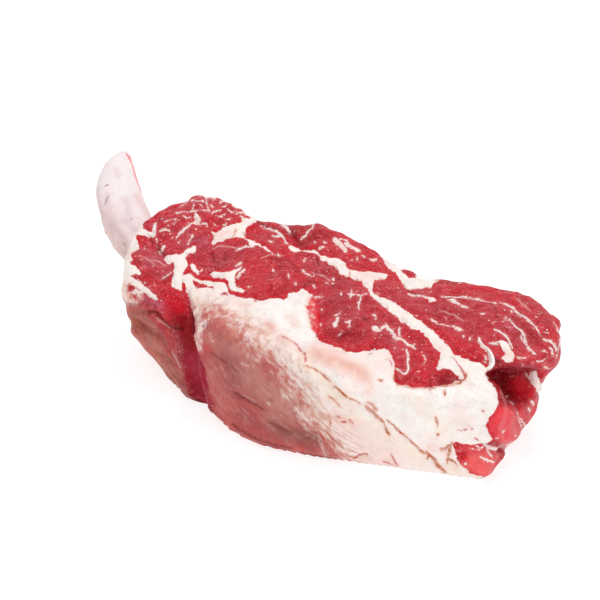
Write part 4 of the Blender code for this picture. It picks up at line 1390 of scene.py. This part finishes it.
class Maker(Writer):  # a material
    def __init__(self, name):
        self.material = bpy.data.materials.new(name)
        self.material.use_nodes = True
        super().__init__(self.material.node_tree)
        self.tree.nodes.clear()

    def number(self, name):
        return self.put("ShaderNodeAttribute", {"attribute_name": name}, out="Fac")

    def colour(self, name):
        return self.put("ShaderNodeAttribute", {"attribute_name": name}, out="Color")

    def inMillimetres(self, stretch=(1, 1, 1), turn=(0, 0, 0)):
        place = self.put("ShaderNodeTexCoord", out="Object")
        scale = tuple(1000 / s for s in stretch)
        turned = self.put("ShaderNodeMapping", None, {"Vector": place, "Rotation": turn})
        return self.put("ShaderNodeVectorMath", {"operation": "MULTIPLY"}, {0: turned, 1: scale})

    def cloud(self, place, size, detail=2.0, rough=0.5, bend=0.0):
        sockets = {"Vector": place, "Scale": 1 / size, "Detail": detail}
        sockets.update({"Roughness": rough, "Distortion": bend})
        return self.put("ShaderNodeTexNoise", None, sockets)

    def blend(self, share, low, high):
        sockets = {0: share, 6: tone(low), 7: tone(high)}
        return self.put("ShaderNodeMix", {"data_type": "RGBA"}, sockets, out=2)

    def layered(self, base, noises, layers, gain=None):  # colours laid over where noise is low or high
        for name, side, low, high, strength, colour in layers:
            noise = noises[name]
            share = noise.below(low, high) if side == "low" else noise.within(low, high)
            if gain is not None:
                share = share * gain
            base = self.blend(share * strength, base, colour)
        return base

    def makeNoises(self, grain, settings):
        places = {way: self.inMillimetres(*values) for way, values in grain.items()}
        return {name: self.cloud(places[way], *values) for name, (way, *values) in settings.items()}

    def principled(self, colour, roughness, normal, finish):
        sockets = {"Base Color": colour, "Roughness": roughness, "Normal": normal}
        return self.put("ShaderNodeBsdfPrincipled", None, {**sockets, **finish})

    def bump(self, height, depth):
        return self.put("ShaderNodeBump", None, {"Height": height, "Strength": 1.0, "Distance": depth * mm})

    def finish(self, shader):
        self.put("ShaderNodeOutputMaterial", None, {"Surface": shader})
        return self.material


def tone(value):  # a palette name, a grey level or a socket as a colour
    if isinstance(value, str):
        return (*linear(value), 1)
    if isinstance(value, (int, float)):
        return (value, value, value, 1)
    return value


def softFinish(scatter, spread, depth, more):  # light that sinks into the piece, to a depth in mm
    soft = {"Subsurface Weight": scatter, "Subsurface Radius": spread, "Subsurface Scale": depth * mm}
    return {**soft, **more}


meatSpread, fatSpread = (1.0, 0.35, 0.25), (1.0, 0.5, 0.35)  # how far red, green and blue light reach
finishes = {
    "muscle": softFinish(0.12, meatSpread, 1.5, {"IOR": 1.4, "Specular IOR Level": 0.12}),
    "fat": softFinish(0.12, meatSpread, 1.5, {"IOR": 1.4, "Specular IOR Level": 0.3}),
    "bone": softFinish(0.1, fatSpread, 2.0, {"IOR": 1.45}),
    "marbling": softFinish(0.1, fatSpread, 1.0, {"Specular IOR Level": 0.3}),
}

# which way the noise in the meat is drawn out: stretch and turn about each axis
meatGrain = {
    "even": ((1, 1, 1), (0, 0, 0)),
    "downhill": ((3.2, 3.2, 1.0), (0, -0.5, 0)),
    "along": ((1.0, 2.4, 1.4), (0, 0, 0.6)),
}
# noise: which way, size in mm, detail, roughness, bend
meatNoise = {
    "nibble": ("even", 0.9, 2, 0.55, 0.3),
    "wobble": ("even", 2.4, 3, 0.6, 0.4),
    "rough": ("even", 6, 4, 0.6, 0.6),
    "patchy": ("even", 12, 3, 0.55, 0.6),
    "mottle": ("even", 3.2, 4, 0.62, 0.6),
    "fine": ("even", 0.8, 2, 0.6),
    "contour": ("even", 6.5, 2, 0.5, 1.0),
    "streak": ("downhill", 1.6, 5, 0.6, 0.25),
    "wisps": ("downhill", 3.2, 4, 0.55, 0.4),
    "fibre": ("along", 1.5, 3, 0.6, 0.5),
}
# layers of colour: noise, which side of it, from and to which level, strength, colour
muscleLayers = [
    ("patchy", "low", 0.38, 0.52, 0.5, "deep"),
    ("patchy", "high", 0.5, 0.66, 0.4, "dusty"),
    ("mottle", "low", 0.36, 0.5, 0.4, "wine"),
    ("mottle", "high", 0.5, 0.66, 0.2, "petal"),
    ("fibre", "low", 0.36, 0.46, 0.3, "wine"),
    ("fibre", "high", 0.54, 0.66, 0.18, "petal"),
    ("fine", "low", 0.34, 0.48, 0.5, "deep"),
    ("fine", "high", 0.54, 0.68, 0.34, "petal"),
    # painted highlight: the palest pink specks stand in for glints on the wet muscle
    ("fine", "high", 0.66, 0.76, 0.3, "pink"),
]
membraneLayers = [
    ("wisps", "high", 0.46, 0.7, 0.4, "veil"),
    ("wisps", "low", 0.34, 0.46, 0.3, "plum"),
    ("streak", "high", 0.56, 0.74, 0.3, "haze"),
    ("streak", "low", 0.3, 0.42, 0.25, "bark"),
    ("mottle", "low", 0.38, 0.5, 0.22, "plum"),
    ("mottle", "high", 0.54, 0.68, 0.25, "veil"),
    ("fine", "high", 0.6, 0.74, 0.2, "haze"),
]
suetLayers = [
    ("patchy", "high", 0.46, 0.66, 0.25, "pink"),
    ("rough", "low", 0.36, 0.48, 0.3, "pink"),
]


def fatEdge(make, noises, broad, laced):
    # edges of the fat: ragged, finer on thin strokes, and drawn out where the membrane starts
    nibble, wobble, rough = noises["nibble"], noises["wobble"], noises["rough"]
    rag = (nibble - 0.5) * (4.0 - broad * 2.4) + (wobble - 0.5) * (4 + broad * 0.5)
    rag = rag + (rough - 0.5) * broad * 3
    foam = noises["streak"] * 0.45 + rough * 0.3 + wobble * 0.25 - 0.5
    edge = make.number("fat") + rag + foam * (laced * 70)
    share = (edge / (laced * 12 + 0.6)).within(-1, 1)  # of muscle
    faint = (1 - broad) * wobble.below(0.4, 0.56) * 0.25
    return (1 - share) * (1 - faint), edge.below(0.3, 4.0) * share


def lineMarks(make, noises):  # the drawn lines, roughened
    loose = (noises["wobble"] - 0.5) * 3 + (noises["nibble"] - 0.5) * 1.5
    return {
        "fold": (make.number("fold") + loose).below(-1.7, 1.3) * 0.75,
        "paleThreadAndHighlight": (make.number("paleThreadAndHighlight") + loose * 0.7).below(-1.2, 1.2) * 0.45,
        "red": (make.number("redLine") + loose).below(-0.5, 0.9),
        "brown": (make.number("stain") + loose).below(-0.7, 1.0),
        "tinge": (make.number("stain") + loose * 1.5).below(-0.5, 3.5) * 0.3,
    }


def muscleColour(make, noises, marks, thread, halo, broad):
    # blotches of dark and dusty red, a soft grain, long pale threads, and membrane over it
    flesh, skin, wobble = make.colour("flesh"), make.number("skin"), noises["wobble"]
    lively = 1 - make.number("calm") * 0.72
    body = make.layered(flesh, noises, muscleLayers, lively)
    body = make.blend(thread * wobble.within(0.44, 0.58) * lively * 0.35, body, "pink")
    body = make.blend(halo * (1 - broad) * 0.22, body, "petal")
    body = make.blend(halo * broad * wobble.within(0.42, 0.6) * 0.7, body, "scarlet")
    body = make.blend(skin, body, make.layered(flesh, noises, membraneLayers))
    # painted shade in folds and slits: maroon on the muscle, bark on the membrane
    shade = make.blend(skin * (1 - make.number("gloss")), "maroon", "bark")
    body = make.blend(marks["fold"] * (1 - 0.1 * skin), body, shade)
    # pale threads, and painted highlights along the lit edge of a slit
    body = make.blend(marks["paleThreadAndHighlight"], body, "pink")
    body = make.blend(marks["red"] * 0.8, body, "scarlet")
    return make.blend(marks["brown"] * 0.6, body, "bark")


def suetColour(make, noises, marks, thread, broad, laced):
    # warm white with pink shadows, streaks and a few stains
    rough, streak = noises["rough"], noises["streak"]
    suet = make.layered(make.colour("tallow"), noises, suetLayers)
    suet = make.blend(streak.within(0.56, 0.72) * rough.within(0.42, 0.6) * 0.6, suet, "blush")
    suet = make.blend(noises["wobble"].below(0.32, 0.42) * broad * 0.35, suet, "straw")
    suet = make.blend(thread * rough.within(0.45, 0.6) * 0.4, suet, "blush")
    suet = make.blend(laced * streak.within(0.4, 0.62) * 0.9, suet, "fawn")
    # pale threads, and painted highlights along the lit edge of a slit
    suet = make.blend(marks["paleThreadAndHighlight"] * laced, suet, "white")
    suet = make.blend(marks["tinge"], suet, "apricot")
    suet = make.blend(marks["brown"] * (0.55 + streak.within(0.4, 0.6) * 0.45), suet, "rust")
    suet = make.blend(marks["red"] * 0.75, suet, "brick")
    # painted shade where a fold crosses the fat
    return make.blend(marks["fold"] * 0.6, suet, "umber")


def meatMaterial():
    make = Maker("steak_flesh_and_fat")
    noises = make.makeNoises(meatGrain, meatNoise)
    mottle, fine, rough = noises["mottle"], noises["fine"], noises["rough"]
    broad, laced = make.number("broad"), make.number("lace")
    fatShare, halo = fatEdge(make, noises, broad, laced)
    marks = lineMarks(make, noises)
    thread = (noises["contour"] - 0.5).size().below(0.002, 0.013)
    muscle = make.principled(
        muscleColour(make, noises, marks, thread, halo, broad),
        0.3 + mottle * 0.2 - make.number("gloss") * 0.2,
        make.bump(mottle * 0.5 + fine * 0.25 + noises["fibre"] * 0.4, 1.0),
        finishes["muscle"])
    relief = rough + noises["streak"] * 0.7 + noises["wobble"] * 0.5 + noises["nibble"] * 0.12
    fatty = make.principled(
        suetColour(make, noises, marks, thread, broad, laced),
        0.34 + rough * 0.2,
        make.bump(relief, 1.2),
        finishes["fat"])
    return make.finish(make.put("ShaderNodeMixShader", None, {0: fatShare, 1: muscle, 2: fatty}))


boneGrain = {"even": ((1, 1, 1), (0, 0, 0)), "along": ((6, 3, 2), (0, 0, 0.4))}
boneNoise = {
    "scrape": ("along", 1.1, 4, 0.6),
    "film": ("even", 3.6, 4, 0.65, 0.5),
    "pores": ("even", 0.8, 3, 0.7),
}
boneLayers = [
    ("film", "high", 0.5, 0.75, 0.35, "boneMauve"),
    ("scrape", "high", 0.52, 0.75, 0.45, "boneLitAndScraped"),
    ("pores", "low", 0.34, 0.44, 0.25, "boneGrey"),
]


def boneMaterial():
    make = Maker("scraped_bone")
    noises = make.makeNoises(boneGrain, boneNoise)
    pores = noises["pores"]
    surface = make.layered(make.colour("tint"), noises, boneLayers)
    loose = (pores - 0.5) * 2
    for line, strength, colour in (("mark", 0.6, "umber"), ("redEdge", 0.8, "coral")):
        share = (make.number(line) + loose).below(-0.6, 1.0) * strength
        surface = make.blend(share, surface, colour)
    normal = make.bump(noises["scrape"] * 0.5 + pores * 0.3 + noises["film"], 0.3)
    return make.finish(make.principled(surface, 0.42 + pores * 0.2, normal, finishes["bone"]))


def marblingMaterial(name, low, high):
    make = Maker(name)
    grain = make.cloud(make.inMillimetres(), 1.2, 3, 0.6)
    colour = make.blend(grain.within(0.4, 0.65), low, high)
    finish = finishes["marbling"]
    return make.finish(make.principled(colour, 0.3 + grain * 0.2, make.bump(grain, 0.2), finish))


class Grower(Writer):  # a Geometry Nodes tree with named inputs
    def __init__(self, name):
        super().__init__(bpy.data.node_groups.new(name, "GeometryNodeTree"))
        for way in ("INPUT", "OUTPUT"):
            self.tree.interface.new_socket("Geometry", in_out=way, socket_type="NodeSocketGeometry")
        self.given = self.tree.nodes.new("NodeGroupInput")
        self.base = Sock(self, self.given.outputs["Geometry"])
        self.values = {}

    def ask(self, name, value):
        kind = "NodeSocketInt" if isinstance(value, int) else "NodeSocketFloat"
        entry = self.tree.interface.new_socket(name, in_out="INPUT", socket_type=kind)
        self.values[entry.identifier] = value
        return Sock(self, self.given.outputs[name])

    def named(self, name):
        return self.put("GeometryNodeInputNamedAttribute", {"data_type": "FLOAT"}, {"Name": name})

    def grow(self, name, mesh, shape, material):
        whole = self.put("GeometryNodeRealizeInstances", None, {"Geometry": shape})
        dressed = self.put("GeometryNodeSetMaterial", None, {"Geometry": whole, "Material": material})
        self.put("NodeGroupOutput", None, {"Geometry": dressed})
        draft = addPiece(name + "_draft", mesh)
        modifier = draft.modifiers.new(name, "NODES")
        modifier.node_group = self.tree
        for identifier, value in self.values.items():
            modifier[identifier] = value
        grown = plainMesh(draft, name)
        grown.shade_smooth()
        return addPiece(name, grown)


# where the cut face is strewn with fine specks: how thickly, radius in pixels, points
fleckZones = {
    "hump": (1.0, 16, [(165, 232), (185, 220), (205, 208), (232, 212)]),
    "left": (0.4, 14, [(150, 262), (158, 282)]),
    "centre": (0.45, 16, [(322, 280), (340, 300), (348, 318)]),
    "right": (0.5, 14, [(352, 320), (400, 345), (420, 360)]),
    "back": (0.7, 8, [(300, 232), (330, 244), (368, 258)]),
    "flap": (0.35, 16, [(440, 300), (480, 318), (520, 330)]),
    "flap end": (1.0, 10, [(535, 322), (548, 335), (545, 352)]),
}

# where the muscle is wettest: how wet, radius in pixels, points
glossZones = {
    "flap end": (1.0, 12, [(528, 320), (542, 328), (548, 345)]),
    "patch": (0.8, 12, [(470, 456), (488, 464)]),
    "knob": (0.6, 10, [(500, 425), (510, 436)]),
    "cave": (0.8, 12, [(500, 380), (520, 390)]),
}

fleckSettings = {
    "density": 70000.0,  # specks a square metre where they lie thickest
    "elsewhere": 0.06,  # share of that outside the zones
    "upward": 0.35,  # how far a face with specks looks up
    "length": 0.7 * mm,
    "smallest": (0.4, 0.25, 0.12),  # in lengths
    "largest": (1.3, 0.55, 0.3),
    "seed": 7,
}


def addFlecks(mesh):
    grower = Grower("fat_flecks")
    length = grower.ask("Fleck Length", fleckSettings["length"])
    seed = grower.ask("Seed", fleckSettings["seed"])
    density = grower.named("fleckDensity") * grower.ask("Density", fleckSettings["density"])
    field = {"Mesh": grower.base, "Density": density, "Seed": seed}
    points = grower.put("GeometryNodeDistributePointsOnFaces", None, field)
    upright = Sock(grower, points.socket.node.outputs["Rotation"])
    spin = grower.put("FunctionNodeRandomValue", {"data_type": "FLOAT"},
                      {2: 0.0, 3: math.tau, "Seed": seed}, out=1)
    turn = grower.put("FunctionNodeAxisAngleToRotation", None, {"Axis": (0, 0, 1), "Angle": spin})
    facing = grower.put("FunctionNodeRotateRotation", {"rotation_space": "LOCAL"},
                        {"Rotation": upright, "Rotate By": turn})
    size = grower.put("FunctionNodeRandomValue", {"data_type": "FLOAT_VECTOR"},
                      {0: fleckSettings["smallest"], 1: fleckSettings["largest"], "Seed": seed})
    scaled = grower.put("ShaderNodeVectorMath", {"operation": "SCALE"}, {0: size, "Scale": length})
    speck = grower.put("GeometryNodeMeshIcoSphere", None, {"Radius": 1.0, "Subdivisions": 1})
    specks = grower.put("GeometryNodeInstanceOnPoints", None,
                        {"Points": points, "Instance": speck, "Rotation": facing, "Scale": scaled})
    material = marblingMaterial("fleck_fat", "cream", "pink")
    return grower.grow("fat_flecks", mesh.copy(), specks, material)


sinewSettings = {
    "sides": 6,
    "thickness": 0.75,  # share of its drawn width that a thread stands round
    "sink": 0.35,  # share of its radius that lies in the meat
}

# threads that stand out of the meat: width in mm, points in the picture
sinews = [
    (1.9, [(484, 346), (488, 349.5), (491, 354), (492.6, 359), (492.8, 364), (490, 368), (487.4, 370)]),
    (1.3, [(479, 338), (480, 342), (484, 346)]), (0.6, sharedPaths["lip thread"]),
    (0.5, [(441, 296.5), (451, 297), (466, 298.5), (481, 301), (492, 303)]),
    (0.5, [(500, 303), (510, 307.5), (519, 313.5), (526, 317.5), (532, 322.5), (537, 329)]),
    (0.5, [(504, 320), (510, 321), (516, 327.5), (521, 331.5), (525, 338), (527, 344.5)]),
    (0.6, [(406, 349), (408, 355), (407.5, 362), (408.5, 370), (404, 374), (398, 369)]),
    (0.5, sharedPaths["middle thread"]), (0.7, sharedPaths["hump thread"]),
    (0.6, [(270.5, 229), (279, 234), (283, 237), (285, 241), (288, 243.5)]),
    (0.6, sharedPaths["low thread"]), (0.5, [(547, 340), (552, 343), (555, 347.5), (555.4, 352)]),
]


def addSinews(mesh):
    tree = surfaceTree(mesh)
    spots, bonds, widths = [], [], []
    for width, path in sinews:
        line = smoothPath(path, steps=5)
        last = None
        for i, pixel in enumerate(line):
            hit, normal, _, _ = tree.ray_cast(eye, pictureRay(pixel))
            if hit is None or (last is not None and (hit - spots[last]).length > 4 * mm):
                last = None
                continue
            radius = 0.5 * width * mm * sinewSettings["thickness"]
            radius *= 0.35 + 0.65 * math.sin(math.pi * (i + 0.5) / len(line)) ** 0.5
            spots.append(hit + normal * radius * (1 - 2 * sinewSettings["sink"]))
            widths.append(radius)
            if last is not None:
                bonds.append((last, len(spots) - 1))
            last = len(spots) - 1
    lines = bpy.data.meshes.new("sinew_lines")
    lines.from_pydata(spots, bonds, [])
    giveNumbers(lines, "threadRadius", np.array(widths))
    grower = Grower("sinew_threads")
    sides = grower.ask("Sides", sinewSettings["sides"])
    ring = grower.put("GeometryNodeCurvePrimitiveCircle", None, {"Resolution": sides, "Radius": 1.0})
    curves = grower.put("GeometryNodeMeshToCurve", None, {"Mesh": grower.base})
    threads = grower.put("GeometryNodeCurveToMesh", None, {
        "Curve": curves, "Profile Curve": ring, "Scale": grower.named("threadRadius"), "Fill Caps": True})
    material = marblingMaterial("sinew_fat", "cream", "white")
    return grower.grow("sinew_threads", lines, threads, material)


studio = {
    "sky": 0.82,
    "backdrop": 1.1,  # what the camera sees of the sky
    "key": (4.8, 0.3, (0.1, 0.35, 1.25)),  # power, size, place
    "fill": (1.7, 0.9, (0.95, -0.75, 0.5)),
    "floorSpan": 6.0,
    "floorGlow": 0.76,
    "floorShade": 0.36,
}


def floorMaterial():
    make = Maker("white_table")
    grain = make.cloud(make.put("ShaderNodeTexCoord", out="Object"), 0.2, 2)
    colour = make.blend(grain, studio["floorShade"], studio["floorShade"] * 1.01)
    shader = make.put("ShaderNodeBsdfPrincipled", None, {
        "Base Color": colour, "Roughness": 0.7, "Specular IOR Level": 0.1,
        "Emission Color": (1, 1, 1, 1), "Emission Strength": studio["floorGlow"]})
    return make.finish(shader)


def addStudio():
    shape = bmesh.new()
    bmesh.ops.create_grid(shape, x_segments=2, y_segments=2, size=studio["floorSpan"] / 2)
    mesh = bpy.data.meshes.new("table_top")
    shape.to_mesh(mesh)
    shape.free()
    mesh.materials.append(floorMaterial())
    floor = addPiece("table_top", mesh)
    world = bpy.data.worlds.new("white_studio")
    world.use_nodes = True
    tree = world.node_tree
    backdrop = tree.nodes["Background"]
    backdrop.inputs["Color"].default_value = (1, 1, 1, 1)
    ray = tree.nodes.new("ShaderNodeLightPath")
    strength = tree.nodes.new("ShaderNodeMapRange")
    strength.inputs["To Min"].default_value = studio["sky"]
    strength.inputs["To Max"].default_value = studio["backdrop"]
    tree.links.new(ray.outputs["Is Camera Ray"], strength.inputs["Value"])
    tree.links.new(strength.outputs[0], backdrop.inputs["Strength"])
    bpy.context.scene.world = world
    for name in ("key", "fill"):
        power, size, place = studio[name]
        light = bpy.data.lights.new(name + "_softbox", "AREA")
        light.energy, light.size = power, size
        lamp = bpy.data.objects.new(name + "_softbox", light)
        lamp.location = place
        lamp.rotation_euler = Vector(place).to_track_quat("Z", "Y").to_euler()
        bpy.context.scene.collection.objects.link(lamp)
    bpy.context.scene.view_settings.view_transform = "Standard"


addStudio()
print("studio ready")

bone = addPiece("steak_bone", buildBone())
bone.data.materials.append(boneMaterial())
print("bone built", len(bone.data.polygons))
meat = addPiece("steak_meat", buildMeat(bone.data))
flecks = addFlecks(meat.data)
threads = addSinews(meat.data)
meat.data.materials.append(meatMaterial())
print("meat built", len(meat.data.polygons), len(flecks.data.polygons), len(threads.data.polygons))

for piece, slot in ((meat, "meat"), (flecks, "fat"), (threads, "fat"), (bone, "rib_bone")):
    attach(piece, "root")
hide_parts("meat")
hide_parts("rib_bone")
